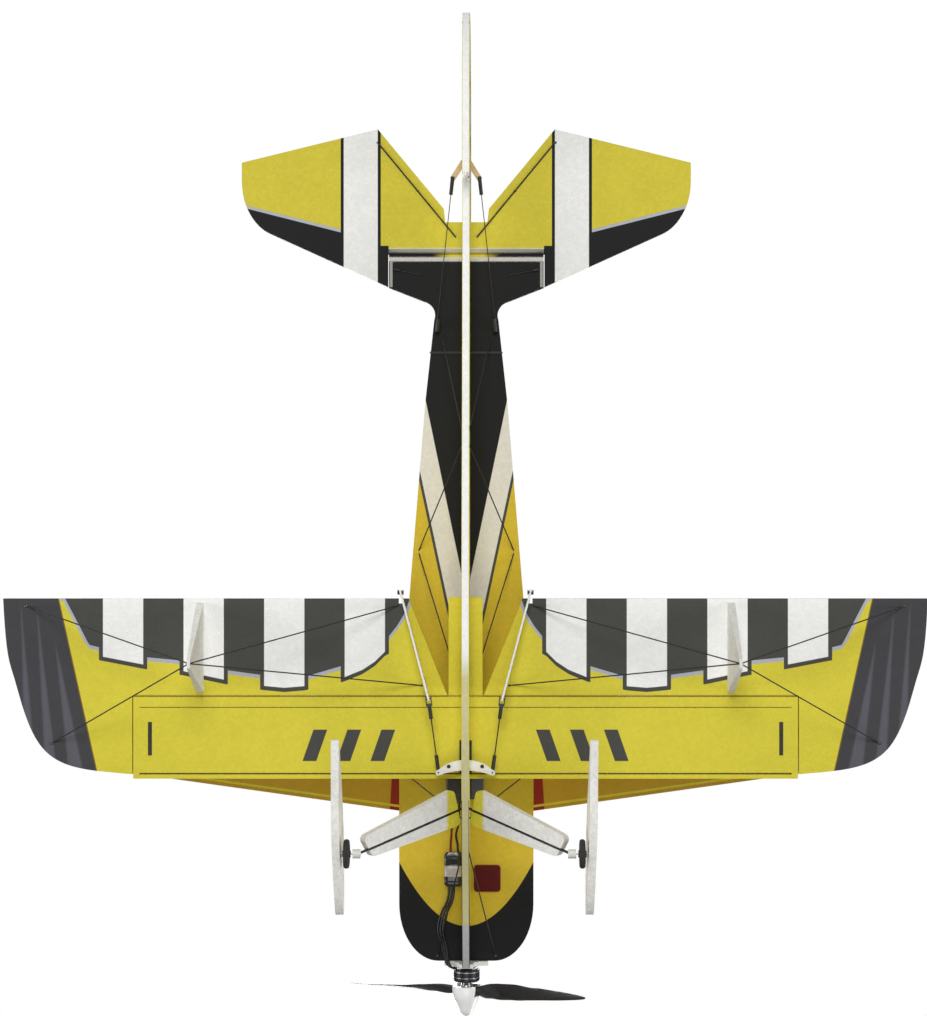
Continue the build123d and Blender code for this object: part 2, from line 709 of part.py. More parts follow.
# Fuselage profile, lower half: slotted for the lower wing, with windows for arm and elevator
nose_low = plate_height - nose_depth
tail_low = plate_height - tail_depth
keel_front = leg_root[1] - 4.0
keel_back = lower_trailing + 8.0
window_front = elevator_hinge - 2.0
window_back = elevator_hinge + elevator_root_chord + 3.5
window_drop = 15.5
post_front = window_back
profile_back = rudder_hinge - hinge_gap
lower_outline = Polyline(
    (nose, plate_height), (nose, nose_low),
)
lower_outline += Spline(
    (nose, nose_low), (nose + 62.0, keel_height + 30.0), (keel_front, keel_height),
    tangents=[(0.8, -0.6), (1, 0)],
)
lower_outline += Line((keel_front, keel_height), (keel_back, keel_height))
lower_outline += Spline(
    (keel_back, keel_height), (keel_back + 130.0, keel_height + 32.0), (profile_back, tail_low),
    tangents=[(1, 0.05), (1, 0.18)],
)
lower_outline += Polyline(
    (profile_back, tail_low), (profile_back, thrust_height), (post_front, thrust_height),
    (post_front, plate_height - window_drop), (window_front, plate_height - window_drop),
    (window_front, plate_height), (nose, plate_height),
)
profile_lower = upright(lower_outline)
wing_slot = block(
    (-foam, lower_leading - glue_gap, lower_wing_height - glue_gap),
    (foam, lower_trailing + 1 + glue_gap, lower_wing_height + foam + glue_gap),
)
profile_lower -= wing_slot
arm_swing = aileron_servo_y - 4.2 - 2.6, aileron_servo_y + 4.2 + 2.6
profile_lower -= block(
    (-foam, arm_swing[0], arm_top - arm_thickness - 1.2), (foam, arm_swing[1], arm_top + 1.0)
)
profile_lower -= aileron_place * servo(glue_gap)
leg_end = (collet_x, axle_y - 0.6, axle_height + 1.5)
leg = rod(leg_root, leg_end, leg_diameter)
profile_lower -= leg
profile_lower -= mirror(leg, about=Plane.YZ)

# Fuselage profile, upper half: cabane, rear deck and fin
cabane_front = upper_leading + 10.0
cabane_back = upper_trailing - 8.0
fin_foot = guide_y - 4.0
upper_line = Polyline(
    (nose, plate_top), (nose, thrust_height + nose_rise),
)
upper_line += Spline(
    (nose, thrust_height + nose_rise), (nose + 55.0, thrust_height + nose_rise + 14.0),
    (cabane_front - 12.0, thrust_height + nose_rise + 19.0),
    (cabane_front, upper_wing_height), tangents=[(1, 0.35), (0.25, 1)],
)
upper_line += Line((cabane_front, upper_wing_height), (cabane_back, upper_wing_height))
upper_line += Spline(
    (cabane_back, upper_wing_height), (cabane_back + 34.0, plate_top + deck_rise),
    (fin_foot, plate_top + 15.0), tangents=[(0.5, -1), (1, -0.12)],
)
upper_line += Spline(
    (fin_foot, plate_top + 15.0), (fin_foot + 62.0, fin_top - 10.0),
    (fin_foot + 86.0, fin_top), tangents=[(1, 0.2), (1, 0.05)],
)
upper_line += Polyline(
    (fin_foot + 86.0, fin_top), (profile_back, fin_top), (profile_back, thrust_height),
    (post_front, thrust_height), (post_front, plate_top + window_drop),
    (window_front, plate_top + window_drop), (window_front, plate_top), (nose, plate_top),
)
profile_upper = upright(upper_line)
cabane_window = Pos(0, 0.5 * (cabane_front + cabane_back) - 20.0, upper_wing_height - 14.0)
window_shape = extrude(
    Plane.YZ * RectangleRounded(78.0, 16.0, 6.0), amount=foam, both=True
)
profile_upper -= cabane_window * window_shape
profile_upper -= rudder_place * servo(glue_gap)
profile_upper -= elevator_place * servo(glue_gap)
arm_room = rudder_arm_low - 0.8, rudder_arm_low + arm_thickness + 1.2
profile_upper -= block(
    (-foam, rudder_servo_y - 5.8, arm_room[0]), (foam, rudder_servo_y + 5.8, arm_room[1])
)
save("fuselage_profile_lower", profile_lower)
save("fuselage_profile_upper", profile_upper)
save("fuselage_plate", plate)

# Carbon bracing between the profile's lower edge and the plate, and a strip across the boom
tail_plate_point = (guide_x - 3.5, guide_y - 9.0, plate_height + 1.0)
middle_plate_point = (39.5, lower_trailing + 36.0, plate_height + 1.0)
front_plate_point = (50.0, lower_leading - 4.0, plate_height + 1.0)
nose_plate_point = (24.0, nose + 4.0, plate_height + 1.0)
truss = (
    (tail_plate_point, (2.4, 64.0, keel_height + 32.0)),
    (middle_plate_point, (2.4, 55.0, keel_height + 30.0)),
    (middle_plate_point, (2.4, lower_hinge - 2.0, lower_wing_height + 12.0)),
    (front_plate_point, (2.4, lower_leading - 30.0, keel_height + 14.0)),
    (nose_plate_point, (2.4, lower_leading - 56.0, keel_height + 18.0)),
)
truss_rods = []
for start, end in truss:
    truss_rods += both(rod(start, end, brace_diameter))
strip_y = 132.0
strips = []
for side in (-1, 1):
    strips.append(block(
        (min(side * 4.0, side * 29.0), strip_y - 0.9, plate_height - 0.8),
        (max(side * 4.0, side * 29.0), strip_y + 0.9, plate_height),
    ))
save("brace_rods", group(truss_rods, *strips))

# Landing gear: carbon legs in foam fairings, wire axles, spats outboard of the wheels
save("gear_legs", group(both(leg)))
leg_way = Vector(*leg_end) - Vector(*leg_root)
leg_plane = Plane(
    origin=Vector(*leg_root), x_dir=leg_way, z_dir=leg_way.cross(Vector(0, 1, 0))
)
fairing_start, fairing_end = 6.5, leg_way.length - 13.0
fairing_outline = Polyline(
    (fairing_start, -fairing_root[1]), (fairing_end, -fairing_tip[1]),
    (fairing_end + fairing_slant, fairing_tip[0]), (fairing_start, fairing_root[0]), close=True,
)
rod_cover = 4.6
fairing = extrude(make_face(fairing_outline.edges()), amount=foam)
fairing = Pos(0, 0, rod_cover - foam) * fairing
fairing = fillet(fairing.edges().filter_by(Axis.Z), 4.0)
groove = leg_diameter + 2 * pin_clearance
fairing -= Pos(0, 0, -foam / 2) * Box(
    4 * leg_way.length, groove, foam, align=(Align.CENTER, Align.CENTER, Align.CENTER)
)
fairing -= Rot(0, 90, 0) * Cylinder(groove / 2, 4 * leg_way.length)
save("gear_fairings", group(both(leg_plane * fairing)))

toe = math.tan(math.radians(spat_toe))
spat_x = wheel_x + 7.4
spat_front = axle_y - 48.0
axle_inner, axle_outer = collet_x - 2.0, spat_x + foam / 2 - 1.0
axle = rod(
    (axle_inner, axle_y, axle_height), (axle_outer, axle_y, axle_height), axle_diameter
)
save("wheel_axles", group(both(axle)))
collet = rod(
    (collet_x - collet_length / 2, axle_y, axle_height),
    (collet_x + collet_length / 2, axle_y, axle_height), collet_diameter,
)
collet -= rod(leg_root, along_line(leg_end, leg_root, -0.2), leg_diameter + 2 * pin_clearance)
collet -= rod(
    (axle_inner - 0.2, axle_y, axle_height), (axle_outer, axle_y, axle_height),
    axle_diameter + 2 * pin_clearance,
)
save("axle_collets", group(both(collet)))

spat_back = spat_front + spat_length
spat_mid = spat_clear + 0.42 * spat_height
spat_outline = Spline(
    (spat_back, spat_clear + 0.62 * spat_height), (spat_front + 46.0, spat_clear + spat_height),
    (spat_front, spat_mid), (spat_front + 40.0, spat_clear),
    (spat_back, spat_clear + 0.50 * spat_height),
    tangents=[(-1, 0.35), (1, 0.45)],
)
spat_outline += Line(spat_outline @ 1, spat_outline @ 0)
spat = upright(spat_outline)
spat = Pos(spat_x, axle_y, 0) * Rot(0, 0, -spat_toe) * Pos(0, -axle_y, 0) * spat
spat -= rod(
    (spat_x - 2 * foam, axle_y, axle_height), (axle_outer + glue_gap, axle_y, axle_height),
    axle_diameter + 2 * pin_clearance,
)
save("wheel_spats", group(both(spat)))

rim_diameter = 0.66 * wheel_diameter
hub_length = tyre_width + 2.0
hub = Cylinder(rim_diameter / 2, tyre_width - 1.6)
hub += Cylinder(2.6, hub_length)
hub -= Cylinder(axle_diameter / 2 + pin_clearance, 2 * hub_length)
tyre = Cylinder(wheel_diameter / 2, tyre_width)
tyre = fillet(tyre.edges(), 0.42 * tyre_width)
tyre -= Cylinder(rim_diameter / 2, 2 * tyre_width)
wheel_place = Pos(wheel_x, axle_y, axle_height) * Rot(0, 90, 0)
save_pair("wheel_hub", wheel_place * hub)
save_pair("tyre", wheel_place * tyre)

# Motor: mount plate, stator with its base, and the bell that turns with the propeller
mount_front = nose - mount_thickness
arm_width = 12.0
mount = Box(mount_span, mount_thickness, arm_width) + Box(arm_width, mount_thickness, mount_span)
mount += Rot(90, 0, 0) * Cylinder(12.5, mount_thickness)
mount = Pos(0, nose - mount_thickness / 2, thrust_height) * mount
screw_circle = 8.0
screw_length = 3.0
screws = []
for turn in range(4):
    angle = math.radians(45 + 90 * turn)
    x = screw_circle * math.cos(angle)
    z = thrust_height + screw_circle * math.sin(angle)
    for start, reach, size in ((mount_front - 1.6, 0.8, 3.2), (mount_front - 0.8, screw_length, 1.6)):
        screws.append(rod((x, start, z), (x, start + reach, z), size))
heads = screws[0::2]
shanks = screws[1::2]
for shank in shanks:
    mount -= shank
save("motor_mount", mount)
save("motor_mount_screws", group(*[head + shank for head, shank in zip(heads, shanks)]))

motor_front = mount_front - motor_length
base_height = 3.0
bell_rim = mount_front - base_height - 0.7
base = shaft_piece(mount_front - 0.8, mount_front, motor_diameter - 1.0)
for shank, head in zip(shanks, heads):
    base -= shank
stator = base + shaft_piece(mount_front - base_height, mount_front, 10.0)
stator += shaft_piece(motor_front + 2.3, mount_front - base_height, motor_diameter - 3.2)
stator -= shaft_piece(motor_front - 1, mount_front + 1, shaft_diameter + 2 * pin_clearance)
save("motor_stator", stator)

bell = shaft_piece(motor_front, bell_rim, motor_diameter)
front_rim = bell.edges().filter_by(GeomType.CIRCLE).sort_by(Axis.Y)[0]
bell = fillet(front_rim, 1.6)
bell -= shaft_piece(motor_front + 1.5, bell_rim + 1, motor_diameter - 2.0)
for turn in range(6):
    vent = Pos(0, motor_front, thrust_height) * Rot(0, 60 * turn, 0) * Pos(6.2, 0, 0)
    bell -= vent * Rot(90, 0, 0) * Cylinder(1.7, 8)
bell += shaft_piece(motor_front - 1.0, mount_front - 0.5, shaft_diameter)
save("motor_bell", bell)

adapter_front = motor_front - 1.0 - adapter_length
hub_depth = 6.0
stud_diameter = 5.0
adapter = Pos(0, adapter_front, thrust_height) * Rot(-90, 0, 0) * Cone(
    5.0, 3.6, adapter_length, align=low_end
)
adapter += shaft_piece(adapter_front - hub_depth - 4.0, adapter_front, stud_diameter)
save("prop_adapter", adapter)

# Propeller: two twisted blades; it has stopped with its starboard blade a little low
hub_front = adapter_front - hub_depth
tip_radius = propeller_diameter / 2
blade_stations = (
    # share of the tip radius, chord, thickness
    (0.05, 6.0, 4.5), (0.13, 10.2, 3.8), (0.20, 15.8, 3.2), (0.30, 20.4, 2.6),
    (0.43, 22.8, 2.1), (0.57, 22.2, 1.8), (0.71, 19.6, 1.5), (0.84, 15.6, 1.2),
    (0.93, 10.8, 0.9), (0.98, 6.4, 0.7), (1.0, 3.2, 0.5),
)
sections = []
for share, chord, thickness in blade_stations:
    radius = share * tip_radius
    angle = math.degrees(math.atan(propeller_pitch / (2 * math.pi * max(radius, 14.0))))
    station = Plane(origin=(radius, 0, 0), x_dir=(0, 1, 0), z_dir=(1, 0, 0))
    sections.append(station * Rot(0, 0, angle) * Pos(-0.06 * chord, 0) * Ellipse(chord / 2, thickness / 2))
blade = loft(sections)
hub_piece = Cylinder(6.5, hub_depth)
blades = hub_piece + blade + Rot(0, 0, 180) * blade
blades -= Cylinder(stud_diameter / 2 + 0.02, 2 * hub_depth)
prop_centre = (0, adapter_front - hub_depth / 2, thrust_height)
prop_place = Pos(*prop_centre) * Rot(0, propeller_roll, 0) * Rot(90, 0, 0)
propeller = prop_place * blades
save("propeller", propeller)

spinner_back = adapter_front + 1.4
spinner_tip = spinner_back - spinner_length
spinner_outline = Polyline((0, spinner_tip), (0, spinner_back), (spinner_diameter / 2, spinner_back))
spinner_outline += Spline(
    (spinner_diameter / 2, spinner_back), (0.46 * spinner_diameter, spinner_back - 8.0),
    (0.29 * spinner_diameter, spinner_back - 17.5), (0, spinner_tip),
    tangents=[(0, -1), (-1, -0.25)],
)
spinner = revolve(make_face(spinner_outline.edges()), Axis.Y)
spinner = Pos(0, 0, thrust_height) * spinner
spinner -= shaft_piece(hub_front - 0.3, spinner_back + 1, 17.0)
spinner -= shaft_piece(adapter_front - hub_depth - 4.1, spinner_back + 1, stud_diameter + 0.1)
slot_room = Box(2 * spinner_diameter, 13.0, hub_depth + 8.4)
spinner -= prop_place * Pos(0, 0, -3.2) * slot_room
save("spinner", spinner)

# Electronics hung under the plate, each side of the profile
side_face = foam / 2 + 0.2
controller_low = plate_height - 7.5
controller = block((side_face, nose + 62.0, controller_low), (side_face + 15.0, nose + 90.0, plate_height - 0.2))
controller = fillet(controller.edges().filter_by(Axis.Y), 1.6)
save("speed_controller", controller)

lead_diameter = 1.8
lead_level = plate_height - 4.6
motor_leads = []
for number in range(3):
    shift = 2.1 * (number - 1)
    start_x = 12.0 + shift
    motor_leads.append(lead(
        (
            (start_x, nose + 62.0, lead_level),
            (start_x, nose + 52.0, lead_level),
            (18.5 + shift, nose + 41.0, lead_level - 2.5 + shift),
            (22.0 + shift, nose + 27.0, lead_level - 3.0 + shift),
            (18.0 + shift, nose + 14.0, lead_level - 3.5 + shift),
            (15.0 + 0.4 * shift, mount_front - 1.9, lead_level - 2.4 + shift),
            (8.9 + 0.5 * shift, mount_front - 1.9, lead_level + 2.6 + 0.9 * shift),
        ),
        lead_diameter,
    ))
save("motor_leads", group(*motor_leads))

battery_front = lower_leading - 26.0
battery = block(
    (side_face, battery_front, plate_height - 20.0), (side_face + 13.0, battery_front + 52.0, plate_height - 3.0)
)
battery = fillet(battery.edges(), 1.8)
save("battery_pack", battery)

battery_leads = []
for number in range(2):
    start_x = 7.0 + 6.0 * number
    drop = 3.0 * number
    battery_leads.append(lead(
        (
            (start_x, nose + 90.0, lead_level),
            (start_x, nose + 97.0, lead_level),
            (start_x + 2.0 - drop, nose + 105.0, lead_level - 3.0 - drop),
            (start_x - 1.0, nose + 113.0, lead_level - 5.0 - drop),
            (start_x - 1.0, battery_front - 8.0, lead_level - 6.0 - drop),
            (start_x - 1.5, battery_front, lead_level - 6.0 - drop),
        ),
        lead_diameter,
    ))
save("battery_leads", group(*battery_leads))

receiver = block(
    (-side_face - 11.0, lower_leading - 23.0, plate_height - 16.0), (-side_face, lower_leading + 7.0, plate_height - 1.0)
)
receiver = fillet(receiver.edges().filter_by(Axis.Y), 1.2)
save("receiver", receiver)

pad_size = 22.0
pad = RectangleRounded(pad_size, pad_size, 3.0)
pad = Pos(-foam / 2 - 3.2 - pad_size / 2, nose + 68.0, plate_height - 1.2) * extrude(pad, amount=1.2)
save("hook_pad", pad)
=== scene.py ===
import math
import random

import bmesh
import bpy
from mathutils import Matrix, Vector


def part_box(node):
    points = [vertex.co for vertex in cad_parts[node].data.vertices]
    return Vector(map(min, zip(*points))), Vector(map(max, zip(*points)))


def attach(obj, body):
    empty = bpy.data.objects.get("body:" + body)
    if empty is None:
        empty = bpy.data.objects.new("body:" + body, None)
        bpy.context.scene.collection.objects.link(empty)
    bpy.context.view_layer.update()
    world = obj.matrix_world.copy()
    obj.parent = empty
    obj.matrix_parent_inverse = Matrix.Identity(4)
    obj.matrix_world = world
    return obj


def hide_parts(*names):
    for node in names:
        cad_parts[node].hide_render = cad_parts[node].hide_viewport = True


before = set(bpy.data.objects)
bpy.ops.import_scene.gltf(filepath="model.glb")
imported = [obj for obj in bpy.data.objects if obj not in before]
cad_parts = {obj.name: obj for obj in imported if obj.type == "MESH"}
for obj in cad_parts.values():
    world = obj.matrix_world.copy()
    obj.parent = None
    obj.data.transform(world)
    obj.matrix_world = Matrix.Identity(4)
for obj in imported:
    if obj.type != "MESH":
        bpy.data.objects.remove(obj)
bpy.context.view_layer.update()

# Camera: straight under the model and looking up, nose at the bottom of the view.
# A long lens at a short stand-off, so the upper wing shows past the lower one.
camera_data = bpy.data.cameras.new("view_from_below")
camera = bpy.data.objects.new("view_from_below", camera_data)
bpy.context.collection.objects.link(camera)
camera.location = (-0.017, 0.004, -1.699)
camera.rotation_euler = (0, math.pi, 0)
camera_data.lens = 80.3
camera_data.sensor_width = 36.0
camera_data.shift_x = -0.0231
bpy.context.scene.camera = camera

# Studio: a pale floor that only shows from above, a near-white room and large soft lamps.
# The strong lamps stand below, so the lower wing shades the plate and the upper wing above it.
FLOOR_SIZE = 12.0
FADE_FROM = 0.7
FADE_TO = 2.2
floor_data = bpy.data.meshes.new("studio_floor")
half_floor = FLOOR_SIZE / 2
floor_data.from_pydata(
    [(-half_floor, -half_floor, 0), (half_floor, -half_floor, 0),
     (half_floor, half_floor, 0), (-half_floor, half_floor, 0)],
    [],
    [(0, 1, 2, 3)],
)
floor = bpy.data.objects.new("studio_floor", floor_data)
bpy.context.collection.objects.link(floor)
floor_paper = bpy.data.materials.new("floor_paper")
floor_paper.use_nodes = True
paper_tree = floor_paper.node_tree
paper_tree.nodes.clear()
paper_out = paper_tree.nodes.new("ShaderNodeOutputMaterial")
paper_mix = paper_tree.nodes.new("ShaderNodeMixShader")
paper_clear = paper_tree.nodes.new("ShaderNodeBsdfTransparent")
paper_white = paper_tree.nodes.new("ShaderNodeBsdfDiffuse")
paper_white.inputs["Color"].default_value = (0.82, 0.82, 0.81, 1)
paper_path = paper_tree.nodes.new("ShaderNodeLightPath")
paper_side = paper_tree.nodes.new("ShaderNodeNewGeometry")
paper_front = paper_tree.nodes.new("ShaderNodeMath")
paper_front.operation = "SUBTRACT"
paper_front.inputs[0].default_value = 1.0
paper_seen = paper_tree.nodes.new("ShaderNodeMath")
paper_seen.operation = "MULTIPLY"
paper_tree.links.new(paper_side.outputs["Backfacing"], paper_front.inputs[1])
paper_tree.links.new(paper_path.outputs["Is Camera Ray"], paper_seen.inputs[0])
paper_tree.links.new(paper_front.outputs[0], paper_seen.inputs[1])
paper_place = paper_tree.nodes.new("ShaderNodeTexCoord")
paper_reach = paper_tree.nodes.new("ShaderNodeVectorMath")
paper_reach.operation = "LENGTH"
paper_fade = paper_tree.nodes.new("ShaderNodeMapRange")
paper_fade.interpolation_type = "SMOOTHSTEP"
paper_fade.inputs["From Min"].default_value = FADE_FROM
paper_fade.inputs["From Max"].default_value = FADE_TO
paper_fade.inputs["To Min"].default_value = 1.0
paper_fade.inputs["To Max"].default_value = 0.0
paper_shown = paper_tree.nodes.new("ShaderNodeMath")
paper_shown.operation = "MULTIPLY"
paper_tree.links.new(paper_place.outputs["Object"], paper_reach.inputs[0])
paper_tree.links.new(paper_reach.outputs["Value"], paper_fade.inputs["Value"])
paper_tree.links.new(paper_seen.outputs[0], paper_shown.inputs[0])
paper_tree.links.new(paper_fade.outputs["Result"], paper_shown.inputs[1])
paper_tree.links.new(paper_shown.outputs[0], paper_mix.inputs[0])
paper_tree.links.new(paper_clear.outputs[0], paper_mix.inputs[1])
paper_tree.links.new(paper_white.outputs[0], paper_mix.inputs[2])
paper_tree.links.new(paper_mix.outputs[0], paper_out.inputs["Surface"])
floor_data.materials.append(floor_paper)

ROOM_LIGHT = 0.15
room = bpy.data.worlds.new("pale_room")
room.use_nodes = True
bpy.context.scene.world = room
room_tree = room.node_tree
room_tree.nodes.clear()
room_out = room_tree.nodes.new("ShaderNodeOutputWorld")
room_mix = room_tree.nodes.new("ShaderNodeMixShader")
room_path = room_tree.nodes.new("ShaderNodeLightPath")
room_light = room_tree.nodes.new("ShaderNodeBackground")
room_light.inputs["Color"].default_value = (1.0, 0.99, 0.97, 1)
room_light.inputs["Strength"].default_value = ROOM_LIGHT
room_wall = room_tree.nodes.new("ShaderNodeBackground")
room_wall.inputs["Color"].default_value = (1, 1, 1, 1)
room_wall.inputs["Strength"].default_value = 1.0
room_tree.links.new(room_path.outputs["Is Camera Ray"], room_mix.inputs[0])
room_tree.links.new(room_light.outputs[0], room_mix.inputs[1])
room_tree.links.new(room_wall.outputs[0], room_mix.inputs[2])
room_tree.links.new(room_mix.outputs[0], room_out.inputs["Surface"])

lamps = (
    # name, place, size across, power
    ("lamp_below_tail", (0.1, 1.8, -2.7), 1.5, 62.0),
    ("lamp_below_nose", (-0.1, -1.7, -2.7), 1.5, 17.0),
    ("lamp_below_left", (2.2, -0.2, -0.7), 1.0, 20.0),
    ("lamp_below_right", (-2.2, -0.2, -0.7), 1.0, 18.0),
    ("lamp_above", (0.4, -0.5, 2.4), 1.8, 62.0),
    ("lamp_front", (-1.6, -2.0, 1.3), 1.4, 30.0),
    ("lamp_back", (1.7, 2.0, 1.2), 1.4, 26.0),
)
for lamp_name, lamp_place, lamp_size, lamp_power in lamps:
    lamp_data = bpy.data.lights.new(lamp_name, "AREA")
    lamp_data.shape = "DISK"
    lamp_data.size = lamp_size
    lamp_data.energy = lamp_power
    lamp = bpy.data.objects.new(lamp_name, lamp_data)
    bpy.context.collection.objects.link(lamp)
    lamp.location = lamp_place
    toward = Vector((0, 0, 0.15)) - Vector(lamp_place)
    lamp.rotation_mode = "QUATERNION"
    lamp.rotation_quaternion = toward.to_track_quat("-Z", "Y")
    lamp.visible_camera = False
bpy.context.scene.view_settings.view_transform = "Standard"


# Lower and upper wing: 6 mm sheet of moulded bead foam, sprayed in yellow, charcoal and white.
# The pattern is masked by hand: scalloped charcoal trailing panels, white bars and dark tips.
class Shade:
    """A number that changes over a surface; arithmetic on it adds maths nodes."""

    def __init__(self, tree, socket):
        self.tree = tree
        self.socket = socket

    def step(self, operation, *others, clamp=False):
        node = self.tree.nodes.new("ShaderNodeMath")
        node.operation = operation
        node.use_clamp = clamp
        for place, value in enumerate((self, *others)):
            if isinstance(value, Shade):
                self.tree.links.new(value.socket, node.inputs[place])
            else:
                node.inputs[place].default_value = value
        return Shade(self.tree, node.outputs[0])

    def __add__(self, other):
        return self.step("ADD", other)

    def __sub__(self, other):
        return self.step("SUBTRACT", other)

    def __rsub__(self, other):
        return self.step("MULTIPLY_ADD", -1.0, other)

    def __mul__(self, other):
        return self.step("MULTIPLY", other)

    def __abs__(self):
        return self.step("ABSOLUTE")

    __radd__ = __add__
    __rmul__ = __mul__

    def least(self, other):
        return self.step("MINIMUM", other)

    def most(self, other):
        return self.step("MAXIMUM", other)

    def inside(self, soft=0.35):
        """1 where this distance in millimetres is positive, with a slightly soft edge."""
        return self.step("MULTIPLY_ADD", 1 / soft, 0.5, clamp=True)

    def between(self, low, high, soft=0.35):
        return (self - low).inside(soft) * (high - self).inside(soft)


def places(tree):
    """x, y and z in millimetres, in the object's own frame."""
    coordinate = tree.nodes.new("ShaderNodeTexCoord")
    split = tree.nodes.new("ShaderNodeSeparateXYZ")
    tree.links.new(coordinate.outputs["Object"], split.inputs[0])
    return [Shade(tree, split.outputs[number]) * 1000.0 for number in range(3)]


def tint(red, green, blue):
    """A colour from its 0 to 255 values."""
    linear = []
    for part in (red, green, blue):
        share = part / 255
        linear.append(share / 12.92 if share <= 0.04045 else ((share + 0.055) / 1.055) ** 2.4)
    return (*linear, 1.0)


def coat(tree, under, over, mask):
    """One colour over another where the mask is 1; either is a colour or a socket."""
    node = tree.nodes.new("ShaderNodeMix")
    node.data_type = "RGBA"
    tree.links.new(mask.socket, node.inputs[0])
    for place, colour in ((6, under), (7, over)):
        if isinstance(colour, tuple):
            node.inputs[place].default_value = colour
        else:
            tree.links.new(colour, node.inputs[place])
    return node.outputs[2]


def profile_line(across, points, width, height):
    """A drawn line: its height in millimetres at each distance across."""
    tree = across.tree
    node = tree.nodes.new("ShaderNodeFloatCurve")
    curve = node.mapping.curves[0]
    spots = [(x / width, y / height) for x, y in points]
    curve.points[0].location = spots[0]
    curve.points[1].location = spots[-1]
    for spot in spots[1:-1]:
        curve.points.new(*spot)
    for point in curve.points:
        point.handle_type = "VECTOR"
    node.mapping.update()
    tree.links.new((across * (1 / width)).socket, node.inputs["Value"])
    return Shade(tree, node.outputs[0]) * height


def new_group(name, inputs, outputs):
    """A shader node group with named sockets, and its two ends."""
    group = bpy.data.node_groups.new(name, "ShaderNodeTree")
    kinds = {"colour": "NodeSocketColor", "number": "NodeSocketFloat"}
    for socket_name, kind, value in inputs:
        socket = group.interface.new_socket(socket_name, in_out="INPUT", socket_type=kinds[kind])
        socket.default_value = value
    for socket_name, kind in outputs:
        group.interface.new_socket(socket_name, in_out="OUTPUT", socket_type=kinds[kind])
    return group, group.nodes.new("NodeGroupInput"), group.nodes.new("NodeGroupOutput")


YELLOW = tint(217, 204, 62)
CHARCOAL = tint(72, 72, 68)
WHITE = tint(246, 246, 244)
BARE_LINE = tint(176, 180, 190)
TIP_GREY = tint(66, 66, 69)
FEATHER = tint(93, 93, 101)
# Painted shade: a shaded yellow for the line along the aileron hinge gap; the same brown draws the thin
# line at the edge of the dark tips.
HINGE_SHADE_AND_TIP_LINE = tint(128, 104, 40)

# Bead foam: close-packed beads about 3 mm across, each a little lighter or darker
BEADS_PER_METRE = 360.0
foam_group, foam_in, foam_out = new_group(
    "bead_foam",
    [("Paint", "colour", YELLOW), ("Grain", "number", 0.08)],
    [("Colour", "colour"), ("Height", "number")],
)
bead_place = foam_group.nodes.new("ShaderNodeTexCoord")
bead_cells = foam_group.nodes.new("ShaderNodeTexVoronoi")
bead_cells.inputs["Scale"].default_value = BEADS_PER_METRE
bead_edges = foam_group.nodes.new("ShaderNodeTexVoronoi")
bead_edges.feature = "DISTANCE_TO_EDGE"
bead_edges.inputs["Scale"].default_value = BEADS_PER_METRE
spray_cloud = foam_group.nodes.new("ShaderNodeTexNoise")
spray_cloud.inputs["Scale"].default_value = 38.0
spray_cloud.inputs["Detail"].default_value = 4.0
spray_dust = foam_group.nodes.new("ShaderNodeTexNoise")
spray_dust.inputs["Scale"].default_value = 1500.0
for node in (bead_cells, bead_edges, spray_cloud, spray_dust):
    foam_group.links.new(bead_place.outputs["Object"], node.inputs["Vector"])
bead_tone = foam_group.nodes.new("ShaderNodeSeparateColor")
foam_group.links.new(bead_cells.outputs["Color"], bead_tone.inputs[0])
tone = Shade(foam_group, bead_tone.outputs[0]) - 0.5
cloud = Shade(foam_group, spray_cloud.outputs["Fac"]) - 0.5
dust = Shade(foam_group, spray_dust.outputs["Fac"]) - 0.5
seam = Shade(foam_group, bead_edges.outputs["Distance"]).step("MULTIPLY", 9.0, clamp=True)
grain = Shade(foam_group, foam_in.outputs["Grain"])
light = (tone * 0.7 + cloud * 1.3 + dust * 1.1 + (seam - 1.0) * 0.5) * grain + 1.0
shaded = foam_group.nodes.new("ShaderNodeVectorMath")
shaded.operation = "SCALE"
foam_group.links.new(foam_in.outputs["Paint"], shaded.inputs[0])
foam_group.links.new(light.socket, shaded.inputs["Scale"])
foam_group.links.new(shaded.outputs[0], foam_out.inputs["Colour"])
foam_group.links.new((seam + dust * 0.3).socket, foam_out.inputs["Height"])


def foam_material(name, paint, grain_amount=0.08):
    """Sprayed bead foam; paint is a function that draws the colours in a tree."""
    material = bpy.data.materials.new(name)
    material.use_nodes = True
    tree = material.node_tree
    shader = tree.nodes["Principled BSDF"]
    shader.inputs["Roughness"].default_value = 0.72
    shader.inputs["Specular IOR Level"].default_value = 0.25
    beads = tree.nodes.new("ShaderNodeGroup")
    beads.node_tree = foam_group
    beads.inputs["Grain"].default_value = grain_amount
    colour = paint(tree)
    if isinstance(colour, tuple):
        beads.inputs["Paint"].default_value = colour
    else:
        tree.links.new(colour, beads.inputs["Paint"])
    relief = tree.nodes.new("ShaderNodeBump")
    relief.inputs["Strength"].default_value = 0.22
    relief.inputs["Distance"].default_value = 0.0004
    tree.links.new(beads.outputs["Colour"], shader.inputs["Base Color"])
    tree.links.new(beads.outputs["Height"], relief.inputs["Height"])
    tree.links.new(relief.outputs[0], shader.inputs["Normal"])
    return material


def finish_nodes(material, *nodes):
    """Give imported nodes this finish."""
    for node_name in nodes:
        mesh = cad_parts[node_name].data
        if not mesh.materials:
            mesh.materials.append(material)
        for place in range(len(mesh.materials)):
            mesh.materials[place] = material


